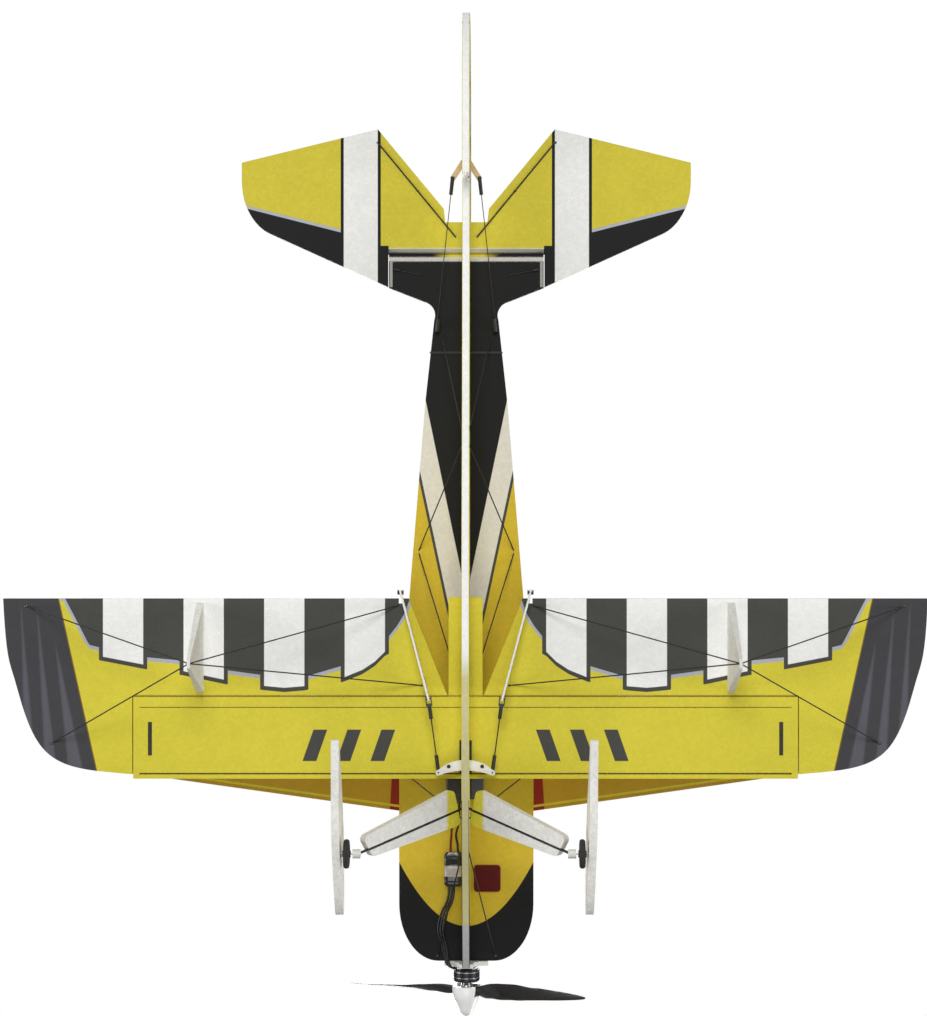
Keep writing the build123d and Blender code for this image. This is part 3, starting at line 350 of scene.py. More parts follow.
# The sprayed pattern, drawn from the trailing edge: depth ahead of it at each distance outboard
WHITE_PITCH = 64.0
WHITE_DEPTH = (
    (0, 10), (64, 43), (72, 51), (82, 57.6), (97, 63.6), (128, 70.5), (144, 71.8), (160, 70.3),
    (192, 65.3), (224, 58.6), (256, 53.3), (289, 46.9), (400, 30),
)
DARK_DEPTH = (
    (0, 0), (44, 0), (48, 12), (54, 22), (61, 31), (78, 43), (97, 54), (124, 62), (163, 61.5), (190, 57.8),
    (228, 50), (254, 47.5), (293, 39.2), (299, 37.7), (318.5, 0), (400, 0),
)
livery, livery_in, livery_out = new_group(
    "wing_livery",
    [
        ("Trailing Edge", "number", -68.0), ("Bars", "number", 1.0), ("Root Red", "number", 0.0),
        ("Ground", "colour", YELLOW),
    ],
    [("Colour", "colour")],
)
x, y, z = places(livery)
outboard = abs(x)
ahead = Shade(livery, livery_in.outputs["Trailing Edge"]) - y
dark_line = profile_line(outboard, DARK_DEPTH, 400, 100)
dark = (dark_line - ahead).inside() * outboard.between(44, 319)
rim_line = dark_line + 3.0
for shift in (-2.6, 2.6):
    rim_line = rim_line.most(profile_line(outboard + shift, DARK_DEPTH, 400, 100))
rim = (rim_line - ahead).inside() * outboard.between(42, 322)
white_line = profile_line(outboard, WHITE_DEPTH, 400, 100)
bar_place = (outboard * (1 / WHITE_PITCH)).step("FRACT") * WHITE_PITCH
in_bars = outboard.between(60.0, 293.0)
bar = bar_place.between(0.0, 32.0) * (white_line - ahead).inside() * in_bars
wide_place = ((outboard + 3.2) * (1 / WHITE_PITCH)).step("FRACT") * WHITE_PITCH
wide_bar = wide_place.between(0.0, 38.4) * (white_line + 3.4 - ahead).inside() * in_bars
tip_edge = outboard - 324.0 + ahead * 0.2215
colour = coat(livery, livery_in.outputs["Ground"], BARE_LINE, rim)
colour = coat(livery, colour, CHARCOAL, dark.most(wide_bar))
colour = coat(livery, colour, WHITE, bar)
colour = coat(livery, colour, HINGE_SHADE_AND_TIP_LINE, (tip_edge + 0.9).inside())
colour = coat(livery, colour, TIP_GREY, tip_edge.inside())
feathers = (
    # outboard start, ahead start, outboard end, ahead end, half width at the end
    (353.0, 8.0, 347.0, 112.0, 3.4),
    (340.0, 14.0, 330.5, 124.0, 3.9),
    (325.5, 38.0, 309.5, 138.0, 5.6),
)
for start_x, start_depth, end_x, end_depth, half_width in feathers:
    along = (ahead - start_depth) * (1 / (end_depth - start_depth))
    middle = along * (end_x - start_x) + start_x
    reach = along.step("MULTIPLY", 1.0, clamp=True) * half_width - abs(outboard - middle)
    fade = (1.22 - along).step("MULTIPLY", 5.0, clamp=True)
    colour = coat(livery, colour, FEATHER, reach.inside(2.2) * fade * along.inside(0.1) * 0.9)
slant = outboard - (ahead - 117.0) * 0.35
slant_place = ((slant - 60.0) * (1 / 27.0)).step("FRACT") * 27.0
mark = slant_place.between(0.0, 11.0) * slant.between(59.0, 134.0) * ahead.between(105.0, 130.0)
colour = coat(livery, colour, CHARCOAL, mark * Shade(livery, livery_in.outputs["Bars"]))
red_edge = (61.0 + (ahead - 80.0) * 0.06) - outboard
red_mask = red_edge.inside(0.8) * Shade(livery, livery_in.outputs["Root Red"])
colour = coat(livery, colour, tint(150, 44, 34), red_mask)
livery.links.new(colour, livery_out.inputs["Colour"])


def wing_paint(trailing, bars, root_red, hinge_shade_at, ground):
    """The wing pattern, with painted shade along the hinge gap and the ground colour on the underside."""

    def paint(tree):
        pattern = tree.nodes.new("ShaderNodeGroup")
        pattern.node_tree = livery
        pattern.inputs["Trailing Edge"].default_value = trailing
        pattern.inputs["Bars"].default_value = bars
        pattern.inputs["Root Red"].default_value = root_red
        x, y, z = places(tree)
        # Painted shade: the upper wing's underside, and all below it, takes the ground colour, which is a
        # darker yellow on the upper wing.
        shaded_underside = (upper_box[0][2] * 1000 + 3.0 - z).inside()
        tree.links.new(coat(tree, YELLOW, ground, shaded_underside), pattern.inputs["Ground"])
        # Painted shade: a ragged dark line along the hinge gap, over the span of the ailerons.
        ragged = tree.nodes.new("ShaderNodeTexNoise")
        ragged.inputs["Scale"].default_value = 420.0
        wander = (Shade(tree, ragged.outputs["Fac"]) - 0.5) * 2.4
        hinge_shade = (0.75 - abs(y - hinge_shade_at) + wander).inside(0.7)
        hinge_shade = hinge_shade * (264.0 - abs(x)).inside() * 0.75
        return coat(tree, pattern.outputs["Colour"], HINGE_SHADE_AND_TIP_LINE, hinge_shade)

    return paint


lower_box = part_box("lower_wing_panel")
upper_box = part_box("upper_wing_panel")
lower_trailing = lower_box[1][1] * 1000
upper_trailing = upper_box[1][1] * 1000
# Painted shade: the upper wing's underside is sprayed a deeper, browner yellow to stand in for the shade
# the lower wing casts on it.
UPPER_UNDERSIDE_SHADE = tint(196, 158, 44)
LOWER_HINGE_SHADE_AT = lower_trailing - 78.3
UPPER_HINGE_SHADE_AT = upper_trailing - 78.8
lower_paint = wing_paint(lower_trailing, 1.0, 0.0, LOWER_HINGE_SHADE_AT, YELLOW)
upper_paint = wing_paint(upper_trailing, 0.0, 1.0, UPPER_HINGE_SHADE_AT, UPPER_UNDERSIDE_SHADE)
lower_foam = foam_material("lower_wing_foam", lower_paint)
upper_foam = foam_material("upper_wing_foam", upper_paint)
finish_nodes(lower_foam, "lower_wing_panel", "lower_aileron_left", "lower_aileron_right")
finish_nodes(upper_foam, "upper_wing_panel", "upper_aileron_left", "upper_aileron_right")


# Fuselage plate with the fixed tailplane: one foam sheet, black nose cap and tail,
# a white chevron with a fine dark edge opening rearwards, yellow between, deepened with painted shade.
# Painted shade: the plate's yellow is deeper and more orange than the wings' to stand in for the shade the
# lower wing casts on it.
SHADE_DEEPENED_YELLOW = tint(212, 184, 52)
BLACK = tint(25, 25, 26)


def plate_paint(tree):
    x, y, z = places(tree)
    outboard = abs(x)
    chevron = 14.36 + y * 0.207 - outboard
    white_edge = 30.87 + y * 0.213 - outboard
    cap = x * x * 0.01724 - 340.25 - y
    slit_line = outboard.between(60.8, 63.0) * y.between(186.0, 207.0)
    ragged = tree.nodes.new("ShaderNodeTexNoise")
    ragged.inputs["Scale"].default_value = 520.0
    wander = (Shade(tree, ragged.outputs["Fac"]) - 0.5) * 3.2
    fuzz = (1.7 - abs(y - 208.9) + wander).inside(0.8) * (64.0 - outboard).inside()
    centre_patch = (20.0 - outboard).inside(14.0) * (y - 209.5).inside()
    colour = coat(tree, SHADE_DEEPENED_YELLOW, CHARCOAL, (white_edge + 2.3).inside())
    colour = coat(tree, colour, tint(226, 222, 212), white_edge.inside())
    colour = coat(tree, colour, BLACK, chevron.inside())
    colour = coat(tree, colour, BLACK, (y - 98.0).inside())
    colour = coat(tree, colour, BLACK, cap.inside(0.6))
    colour = coat(tree, colour, YELLOW, centre_patch)
    colour = coat(tree, colour, tint(214, 212, 206), fuzz * 0.9)
    return coat(tree, colour, tint(176, 174, 168), slit_line * 0.85)


finish_nodes(foam_material("plate_foam", plate_paint, 0.10), "fuselage_plate")


# Elevator: one foam sheet bevelled at its hinge, white bands near the root, yellow outboard
# behind a fine pale line, black leading edge and balance tips.
def elevator_paint(tree):
    x, y, z = places(tree)
    outboard = abs(x)
    lead_line = y - 231.0 - (outboard - 104.0) * 0.2533
    band = outboard.between(73.0, 101.0)
    band_edge = outboard.between(70.5, 103.5)
    root_dark = (73.0 - outboard).inside() * (outboard - 64.0).inside()
    front_dark = root_dark * (220.0 - y).inside()
    outer = (outboard - 101.0).inside()
    ragged = tree.nodes.new("ShaderNodeTexNoise")
    ragged.inputs["Scale"].default_value = 520.0
    wander = (Shade(tree, ragged.outputs["Fac"]) - 0.5) * 3.2
    fuzz = (1.9 - abs(y - 216.2) + wander).inside(0.8) * (64.0 - outboard).inside()
    gap_dark = (outboard - 22.0).inside(14.0) * (64.0 - outboard).inside() * (215.0 - y).inside()
    colour = coat(tree, tint(208, 194, 60), BLACK, outer * (2.6 - lead_line).inside())
    colour = coat(tree, colour, BARE_LINE, outer * lead_line.between(0.2, 2.6))
    colour = coat(tree, colour, BLACK, front_dark.most(band_edge).most(gap_dark))
    colour = coat(tree, colour, tint(236, 236, 234), band)
    return coat(tree, colour, tint(218, 216, 210), fuzz * 0.9)


finish_nodes(foam_material("elevator_foam", elevator_paint, 0.10), "elevator")


# Fuselage profile and rudder: foam sheet on edge; the sprayed sides carry the same colours
# and the cut lower edge is bare white aft, cream under the wing and grey at the nose.
def profile_paint(tree):
    x, y, z = places(tree)
    side = (abs(x) - 2.6).inside(0.5)
    cap = (z - 171.0) * (z - 171.0) * 0.012 - 340.0 - y
    sweep_line = (y + 95.0) * 0.30 + 150.0
    white_band = (z - sweep_line).inside() * (sweep_line + 17.0 - z).inside()
    dark_band = (z - sweep_line + 2.4).inside() * (sweep_line + 19.4 - z).inside()
    top_dark = (z - sweep_line - 19.4).inside() * (y - 20.0).inside()
    edge_colour = coat(tree, tint(206, 200, 150), WHITE, (y + 120.0).inside(20.0))
    edge_colour = coat(tree, edge_colour, tint(186, 184, 184), (-330.0 - y).inside(6.0))
    paint = coat(tree, YELLOW, CHARCOAL, dark_band.most(top_dark))
    paint = coat(tree, paint, WHITE, white_band)
    paint = coat(tree, paint, BLACK, cap.inside(0.6))
    return coat(tree, edge_colour, paint, side)


profile_foam = foam_material("profile_foam", profile_paint, 0.10)
finish_nodes(profile_foam, "fuselage_profile_lower", "fuselage_profile_upper")


def rudder_paint(tree):
    x, y, z = places(tree)
    side = (abs(x) - 2.6).inside(0.5)
    back = y - 272.0
    sweep_line = 262.0 - back * 0.22
    dark = (z - sweep_line).inside()
    bar_place = ((back + (z - 171.0) * 0.12) * (1 / 48.0)).step("FRACT") * 48.0
    bars = bar_place.between(4.0, 28.0) * (z - 150.0).inside()
    wide = bar_place.between(1.0, 31.0) * (z - 147.5).inside()
    paint = coat(tree, YELLOW, CHARCOAL, wide.most(dark))
    paint = coat(tree, paint, WHITE, bars * (sweep_line - 8.0 - z).inside())
    return coat(tree, WHITE, paint, side)


finish_nodes(foam_material("rudder_foam", rudder_paint, 0.10), "rudder")


# King posts, spats and gear fairings: offcuts of the same sheet; posts and spats stay bare
# white with a bead texture, the fairings are sprayed yellow only where they meet the keel.
def bare_paint(tree):
    smudge = tree.nodes.new("ShaderNodeTexNoise")
    smudge.inputs["Scale"].default_value = 60.0
    amount = (Shade(tree, smudge.outputs["Fac"]) - 0.35).step("MULTIPLY", 0.9, clamp=True)
    return coat(tree, tint(233, 232, 227), tint(214, 211, 198), amount)


def fairing_paint(tree):
    x, y, z = places(tree)
    ragged = tree.nodes.new("ShaderNodeTexNoise")
    ragged.inputs["Scale"].default_value = 300.0
    wander = (Shade(tree, ragged.outputs["Fac"]) - 0.5) * 3.0
    return coat(tree, bare_paint(tree), YELLOW, (14.0 - abs(x) + wander).inside(2.2))


bare_foam = foam_material("bare_foam", bare_paint, 0.16)
finish_nodes(bare_foam, "king_post_left", "king_post_right", "wheel_spats")
finish_nodes(foam_material("fairing_foam", fairing_paint, 0.16), "gear_fairings")


# Carbon: pultruded spars and rods glued in place, and the plates of the interplane struts.
# Fine fibres run along them and the glue leaves dull patches.
def hard_material(name, colour, roughness, variation, fibre=(1.0, 1.0, 1.0), coat_weight=0.0,
                  metallic=0.0, bump=0.05, scale=900.0):
    """A hard finish with fine streaks or grain in colour, gloss and relief."""
    material = bpy.data.materials.new(name)
    material.use_nodes = True
    tree = material.node_tree
    shader = tree.nodes["Principled BSDF"]
    shader.inputs["Metallic"].default_value = metallic
    shader.inputs["Coat Weight"].default_value = coat_weight
    coordinate = tree.nodes.new("ShaderNodeTexCoord")
    stretch = tree.nodes.new("ShaderNodeMapping")
    stretch.inputs["Scale"].default_value = fibre
    grain_noise = tree.nodes.new("ShaderNodeTexNoise")
    grain_noise.inputs["Scale"].default_value = scale
    grain_noise.inputs["Detail"].default_value = 3.0
    wear = tree.nodes.new("ShaderNodeTexNoise")
    wear.inputs["Scale"].default_value = 55.0
    tree.links.new(coordinate.outputs["Object"], stretch.inputs["Vector"])
    tree.links.new(stretch.outputs[0], grain_noise.inputs["Vector"])
    tree.links.new(coordinate.outputs["Object"], wear.inputs["Vector"])
    fine = Shade(tree, grain_noise.outputs["Fac"])
    broad = Shade(tree, wear.outputs["Fac"])
    lighter = tuple(min(1.0, part * (1 + 2.2 * variation) + 0.02 * variation) for part in colour[:3])
    darker = tuple(part * (1 - variation) for part in colour[:3])
    mixed = (fine * 0.65 + broad * 0.35 - 0.25).step("MULTIPLY", 2.0, clamp=True)
    toned = coat(tree, (*darker, 1.0), (*lighter, 1.0), mixed)
    tree.links.new(toned, shader.inputs["Base Color"])
    tree.links.new((broad * 0.25 + (roughness - 0.12)).socket, shader.inputs["Roughness"])
    relief = tree.nodes.new("ShaderNodeBump")
    relief.inputs["Strength"].default_value = bump
    relief.inputs["Distance"].default_value = 0.0002
    tree.links.new(fine.socket, relief.inputs["Height"])
    tree.links.new(relief.outputs[0], shader.inputs["Normal"])
    return material


carbon = hard_material("pultruded_carbon", tint(24, 23, 21), 0.6, 0.35, fibre=(0.06, 1, 1))
finish_nodes(carbon, "brace_rods", "gear_legs", "aileron_braces_left", "aileron_braces_right")


# Spars: flat carbon strips pressed into grooves in both wings and sprayed over with them,
# so only a dark seam about 1 mm wide shows.
def spar_paint(tree):
    x, y, z = places(tree)
    front = y - (lower_box[0][1] * 1000 + 4.0)
    back = y - (lower_trailing - 87.0)
    under = (upper_trailing - 87.5) - y
    seam_place = abs(front).least(abs(back)).least(abs(under))
    thin = tree.nodes.new("ShaderNodeTexNoise")
    thin.inputs["Scale"].default_value = 260.0
    wander = (Shade(tree, thin.outputs["Fac"]) - 0.5) * 0.9
    return coat(tree, YELLOW, tint(84, 66, 30), (0.62 - seam_place + wander).inside(0.5))


finish_nodes(foam_material("sprayed_spar", spar_paint, 0.08), "wing_spars")
strut_plate = hard_material("strut_plate", tint(38, 37, 34), 0.45, 0.3, fibre=(1, 1, 0.05))
finish_nodes(strut_plate, "interplane_struts")

# Horns, arms, mount and collets: moulded white nylon, slightly waxy, glued or screwed on.
# The rudder's horn is cut from thin plywood and glued through the foam.
nylon = hard_material("white_nylon", tint(226, 225, 219), 0.42, 0.05, scale=400.0)
finish_nodes(
    nylon, "motor_mount", "aileron_servo_arm", "elevator_servo_arm", "rudder_servo_arm",
    "axle_collets", "elevator_horn", "aileron_horn_left", "aileron_horn_right",
    "upper_horn_left", "upper_horn_right",
)
plywood = hard_material("thin_plywood", tint(196, 170, 128), 0.6, 0.12, fibre=(0.1, 1, 1), scale=700.0)
finish_nodes(plywood, "rudder_horn")

# Servos, linkage, guides, propeller and hubs: black moulded plastic with a soft gloss.
# The propeller is a stiffer nylon, and a glossy white spinner is pushed over its hub.
black_plastic = hard_material("black_plastic", tint(34, 34, 35), 0.38, 0.25, scale=600.0)
finish_nodes(
    black_plastic, "servo_cases", "line_guides", "elevator_pushrod",
    "aileron_link_left", "aileron_link_right", "aileron_pushrod_left", "aileron_pushrod_right",
    "rudder_line_aft_left", "rudder_line_aft_right", "rudder_line_front_left",
    "rudder_line_front_right", "wheel_hub_left", "wheel_hub_right",
)
blade_plastic = hard_material("propeller_nylon", tint(40, 40, 41), 0.36, 0.2, fibre=(1, 1, 1), scale=300.0)
finish_nodes(blade_plastic, "propeller")
spinner_gloss = hard_material("spinner_shell", tint(244, 244, 242), 0.3, 0.03, scale=200.0)
finish_nodes(spinner_gloss, "spinner")

# Motor: black anodised bell and stator with a bright turned adapter for the propeller.
# Its mount screws and the wheel axles are drawn steel.
anodised = hard_material("anodised_bell", tint(58, 58, 62), 0.35, 0.2, metallic=0.8, scale=800.0)
finish_nodes(anodised, "motor_stator", "motor_bell")
turned = hard_material("turned_aluminium", tint(190, 190, 192), 0.3, 0.1, metallic=1.0, scale=900.0)
finish_nodes(turned, "prop_adapter")
steel = hard_material("drawn_steel", tint(168, 168, 170), 0.3, 0.12, metallic=1.0, scale=900.0)
finish_nodes(steel, "motor_mount_screws", "wheel_axles")

# Tyres: rings of matt foam rubber, stretched over the hubs and held there by their own
# tension.
rubber = hard_material("foam_rubber", tint(38, 38, 38), 0.85, 0.25, scale=1200.0, bump=0.3)
finish_nodes(rubber, "tyre_left", "tyre_right")

# Battery in its shrink wrap and receiver in a moulded case, both beside the profile.
# The hook pad is woven tape, stuck under the plate to hold a battery strap.
wrap = hard_material("battery_wrap", tint(36, 36, 40), 0.3, 0.3, scale=300.0)
finish_nodes(wrap, "battery_pack")
receiver_case = hard_material("receiver_case", tint(62, 66, 84), 0.4, 0.2, scale=400.0)
finish_nodes(receiver_case, "receiver")
hook_tape = hard_material("hook_tape", tint(96, 14, 16), 0.9, 0.35, scale=1600.0, bump=0.5)
finish_nodes(hook_tape, "hook_pad")

# Speed controller: a small board in black shrink sleeve, drawn in at both ends and lumpy over
# its chips, with a pale printed band round the middle. It sits on the plate beside the profile.
def skin(shape, rings):
    """A closed skin over a row of rings, given in millimetres."""
    rows = []
    for ring in rings:
        rows.append([shape.verts.new([part / 1000 for part in spot]) for spot in ring])
    for near, far in zip(rows, rows[1:]):
        for place in range(len(near)):
            after = (place + 1) % len(near)
            shape.faces.new((near[place], near[after], far[after], far[place]))
    shape.faces.new(rows[0])
    shape.faces.new(rows[-1])


def lofted(name, bodies, finish, body):
    """Closed skins over rows of rings, all in one piece that rides a body."""
    shell = bmesh.new()
    for rings in bodies:
        skin(shell, rings)
    bmesh.ops.recalc_face_normals(shell, faces=shell.faces)
    mesh = bpy.data.meshes.new(name)
    shell.to_mesh(mesh)
    shell.free()
    mesh.shade_smooth()
    mesh.set_sharp_from_angle(angle=math.radians(40))
    mesh.materials.append(finish)
    piece = bpy.data.objects.new(name, mesh)
    bpy.context.collection.objects.link(piece)
    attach(piece, body)
    return piece


sleeve = hard_material(
    "controller_sleeve", tint(30, 30, 33), 0.3, 0.3, coat_weight=0.4, scale=260.0, bump=0.5,
)
sleeve_tree = sleeve.node_tree
sleeve_shader = sleeve_tree.nodes["Principled BSDF"]
x, y, z = places(sleeve_tree)
print_noise = sleeve_tree.nodes.new("ShaderNodeTexNoise")
print_noise.inputs["Scale"].default_value = 420.0
smear = (Shade(sleeve_tree, print_noise.outputs["Fac"]) - 0.5) * 12.0
LABEL_FRONT = -298.6
LABEL_BACK = -289.8
label_band = (y + smear * 0.1).between(LABEL_FRONT, LABEL_BACK, soft=0.8)
label_wear = (smear + 1.2).inside(2.4)
under_print = sleeve_shader.inputs["Base Color"].links[0].from_socket
label_colour = coat(sleeve_tree, tint(96, 84, 84), tint(196, 188, 190), label_wear)
printed = coat(sleeve_tree, under_print, label_colour, label_band)
sleeve_tree.links.new(printed, sleeve_shader.inputs["Base Color"])

CASE_STEPS = 32
CASE_SIDES = 28
CASE_SQUARENESS = 0.45
(case_x, case_y, case_z), (case_far_x, case_far_y, case_far_z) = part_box("speed_controller")
case_rings = []
for step in range(CASE_STEPS + 1):
    along = step / CASE_STEPS
    nearest_end = min(along, 1 - along)
    pinch = min(1.0, 0.6 + 3.4 * nearest_end)
    lump = 0.93 + 0.07 * math.cos(math.tau * 3 * along) * min(1.0, 6 * nearest_end)
    ring = []
    for turn in range(CASE_SIDES):
        angle = math.tau * turn / CASE_SIDES
        cosine = math.cos(angle)
        sine = math.sin(angle)
        crinkle = 0.985 + 0.015 * math.sin(31 * along + 4 * angle)
        reach_x = math.copysign(abs(cosine) ** CASE_SQUARENESS, cosine)
        reach_x *= crinkle * min(1.0, pinch + 0.18)
        reach_z = math.copysign(abs(sine) ** CASE_SQUARENESS, sine)
        reach_z *= crinkle * pinch * lump
        ring.append((
            500 * (case_x + case_far_x + (case_far_x - case_x) * reach_x),
            1000 * (case_y + (case_far_y - case_y) * along),
            500 * (case_z + case_far_z + (case_far_z - case_z) * reach_z),
        ))
    case_rings.append(ring)
controller_shell = lofted("controller_shell", [case_rings], sleeve, "airframe")
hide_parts("speed_controller")


# Leads: silicone-covered copper strand. Three run from the controller round to the motor, and
# two go back to the battery; each is soldered or crimped inside at both ends.
LEAD_DIAMETER = 0.0018
silicone = hard_material("silicone_lead", tint(30, 30, 30), 0.45, 0.2, scale=500.0)
red_silicone = hard_material("red_silicone_lead", tint(104, 22, 18), 0.45, 0.2, scale=500.0)


def lead(name, route, finish):
    """One free lead on its smooth line through the route, in millimetres."""
    data = bpy.data.curves.new(name, "CURVE")
    data.dimensions = "3D"
    data.bevel_depth = LEAD_DIAMETER / 2
    data.bevel_resolution = 3
    data.resolution_u = 10
    data.use_fill_caps = True
    line = data.splines.new("NURBS")
    line.points.add(len(route) - 1)
    for point, spot in zip(line.points, route):
        point.co = (spot[0] / 1000, spot[1] / 1000, spot[2] / 1000, 1.0)
    line.order_u = 3
    line.use_endpoint_u = True
    data.materials.append(finish)
    piece = bpy.data.objects.new(name, data)
    bpy.context.collection.objects.link(piece)
    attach(piece, "airframe")
    start = tuple(part / 1000 for part in route[0])
    return piece


for number in range(3):
    shift = 2.1 * (number - 1)
    motor_lead = lead(
        f"motor_lead_{number + 1}",
        (
            (12.0 + shift, -307.0, 163.4), (12.0 + shift, -317.0, 163.4),
            (18.5 + shift, -328.0, 160.9 + shift), (22.0 + shift, -342.0, 160.4 + shift),
            (18.0 + shift, -355.0, 159.9 + shift), (15.0 + 0.4 * shift, -374.4, 161.0 + shift),
            (8.9 + 0.5 * shift, -374.4, 166.0 + 0.9 * shift),
        ),
        silicone,
    )
    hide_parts("motor_leads")
for number, finish in enumerate((silicone, red_silicone)):
    side_x = 7.0 + 6.0 * number
    drop = 3.0 * number
    battery_lead = lead(
        f"battery_lead_{number + 1}",
        (
            (side_x, -279.0, 163.4), (side_x, -272.0, 163.4),
            (side_x + 2.0 - drop, -264.0, 160.4 - drop), (side_x - 1.0, -256.0, 158.4 - drop),
            (side_x - 1.0, -245.0, 157.4 - drop), (side_x - 1.5, -237.0, 157.4 - drop),
        ),
        finish,
    )
    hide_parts("battery_leads")


# Elevator stiffeners: two carbon rods glued under the sheet along its V, and the short line ends
# knotted through the tail at each side.
ROD_SIDES = 12
STIFFENER_THICKNESS = 1.2
LINE_THICKNESS = 0.9
KNOT_THICKNESS = 2.2


def rod_rings(start, end, thickness):
    """The two end rings of a straight round rod."""
    start = Vector(start)
    along = (Vector(end) - start).normalized()
    across = along.cross(Vector((0, 0, 1)))
    across = across.normalized() if across.length > 0.01 else Vector((1, 0, 0))
    up = across.cross(along)
    rings = []
    for middle in (start, Vector(end)):
        ring = []
        for turn in range(ROD_SIDES):
            angle = math.tau * turn / ROD_SIDES
            outward = across * math.cos(angle) + up * math.sin(angle)
            ring.append(middle + outward * (thickness / 2))
        rings.append(ring)
    return rings


plate_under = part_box("fuselage_plate")[0][2] * 1000
tail_rods = []
tail_lines = []
for side in (-1, 1):
    rod_height = plate_under - 0.55
    knot_height = plate_under - 0.7
    rod_back = (side * 73.0, 305.0, rod_height)
    rod_front = (side * 8.6, 227.0, rod_height)
    line_outer = (side * 58.0, 200.0, knot_height)
    line_inner = (side * 36.0, 196.0, plate_under - 0.3)
    knot_outer = (side * 59.5, 200.6, knot_height)
    knot_inner = (side * 55.0, 199.5, knot_height)
    tail_rods.append(rod_rings(rod_back, rod_front, STIFFENER_THICKNESS))
    tail_lines.append(rod_rings(line_outer, line_inner, LINE_THICKNESS))
    tail_lines.append(rod_rings(knot_outer, knot_inner, KNOT_THICKNESS))
lofted("elevator_stiffeners", tail_rods, carbon, "elevator")
lofted("tail_line_ends", tail_lines, carbon, "airframe")


# Motor bands: two bright bands left by the lathe on the black bell, one at mid length and one
# at its open rim. They turn with the propeller.
HOOP_STEPS = 48
BAND_WIDTH = 0.55
BAND_HEIGHT = 0.14
BAND_PLACES = (4.6, 9.2)


def hoop(middle_y, middle_z, radius, width, thickness):
    """A flat band round the motor shaft, as rings of a square section that close on themselves."""
    rings = []
    for step in range(HOOP_STEPS + 1):
        angle = math.tau * step / HOOP_STEPS
        ring = []
        for out, along in ((0, -0.5), (1, -0.5), (1, 0.5), (0, 0.5)):
            reach = radius + out * thickness
            ring.append((
                reach * math.cos(angle),
                middle_y + along * width,
                middle_z + reach * math.sin(angle),
            ))
        rings.append(ring)
    return rings


bell_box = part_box("motor_bell")
shaft_height = (bell_box[0][2] + bell_box[1][2]) * 500
bell_radius = (bell_box[1][0] - bell_box[0][0]) * 500
band_bright = hard_material("turned_band", tint(196, 194, 196), 0.3, 0.1, metallic=0.9, scale=900.0)
bell_front = bell_box[0][1] * 1000
hoops = []
for band_place in BAND_PLACES:
    band_y = bell_front + band_place
    hoops.append(hoop(band_y, shaft_height, bell_radius - 0.1, BAND_WIDTH, BAND_HEIGHT))
lofted("bell_bands", hoops, band_bright, "motor_rotor")


# Glue: clear drops of foam cement where rods and braces meet the sheet. The tree that sets
# them, a master shape on every point it is given, makes the other small repeated parts too.
spread_tree = bpy.data.node_groups.new("spread_on_points", "GeometryNodeTree")
for socket_name, socket_kind, socket_value in (
    ("Points", "NodeSocketGeometry", None), ("Master", "NodeSocketObject", None),
    ("Size", "NodeSocketFloat", 1.0), ("Vary", "NodeSocketFloat", 0.0),
    ("Seed", "NodeSocketInt", 1), ("Finish", "NodeSocketMaterial", None),
):
    socket = spread_tree.interface.new_socket(socket_name, in_out="INPUT", socket_type=socket_kind)
    if socket_value is not None:
        socket.default_value = socket_value
spread_tree.interface.new_socket("Result", in_out="OUTPUT", socket_type="NodeSocketGeometry")
spread_in = spread_tree.nodes.new("NodeGroupInput")
spread_out = spread_tree.nodes.new("NodeGroupOutput")
spread_set = spread_tree.nodes.new("GeometryNodeInstanceOnPoints")
spread_shape = spread_tree.nodes.new("GeometryNodeObjectInfo")
spread_turn = spread_tree.nodes.new("GeometryNodeInputNamedAttribute")
spread_turn.data_type = "FLOAT_VECTOR"
spread_turn.inputs["Name"].default_value = "turn"
spread_euler = spread_tree.nodes.new("FunctionNodeEulerToRotation")
spread_random = spread_tree.nodes.new("FunctionNodeRandomValue")
spread_real = spread_tree.nodes.new("GeometryNodeRealizeInstances")
spread_finish = spread_tree.nodes.new("GeometryNodeSetMaterial")
size_shade = Shade(spread_tree, spread_in.outputs["Size"])
vary_shade = Shade(spread_tree, spread_in.outputs["Vary"])
spread_tree.links.new((1.0 - vary_shade).socket, spread_random.inputs[2])
spread_tree.links.new((vary_shade + 1.0).socket, spread_random.inputs[3])
spread_tree.links.new(spread_in.outputs["Seed"], spread_random.inputs["Seed"])
spread_scale = Shade(spread_tree, spread_random.outputs[1]) * size_shade
spread_tree.links.new(spread_in.outputs["Points"], spread_set.inputs["Points"])
spread_tree.links.new(spread_in.outputs["Master"], spread_shape.inputs["Object"])
spread_tree.links.new(spread_shape.outputs["Geometry"], spread_set.inputs["Instance"])
spread_tree.links.new(spread_turn.outputs["Attribute"], spread_euler.inputs[0])
spread_tree.links.new(spread_euler.outputs[0], spread_set.inputs["Rotation"])
spread_tree.links.new(spread_scale.socket, spread_set.inputs["Scale"])
spread_tree.links.new(spread_set.outputs["Instances"], spread_real.inputs[0])
spread_tree.links.new(spread_real.outputs[0], spread_finish.inputs["Geometry"])
spread_tree.links.new(spread_in.outputs["Finish"], spread_finish.inputs["Material"])
spread_tree.links.new(spread_finish.outputs[0], spread_out.inputs["Result"])
spread_sockets = {}
for item in spread_tree.interface.items_tree:
    if item.in_out == "INPUT":
        spread_sockets[item.name] = item.identifier


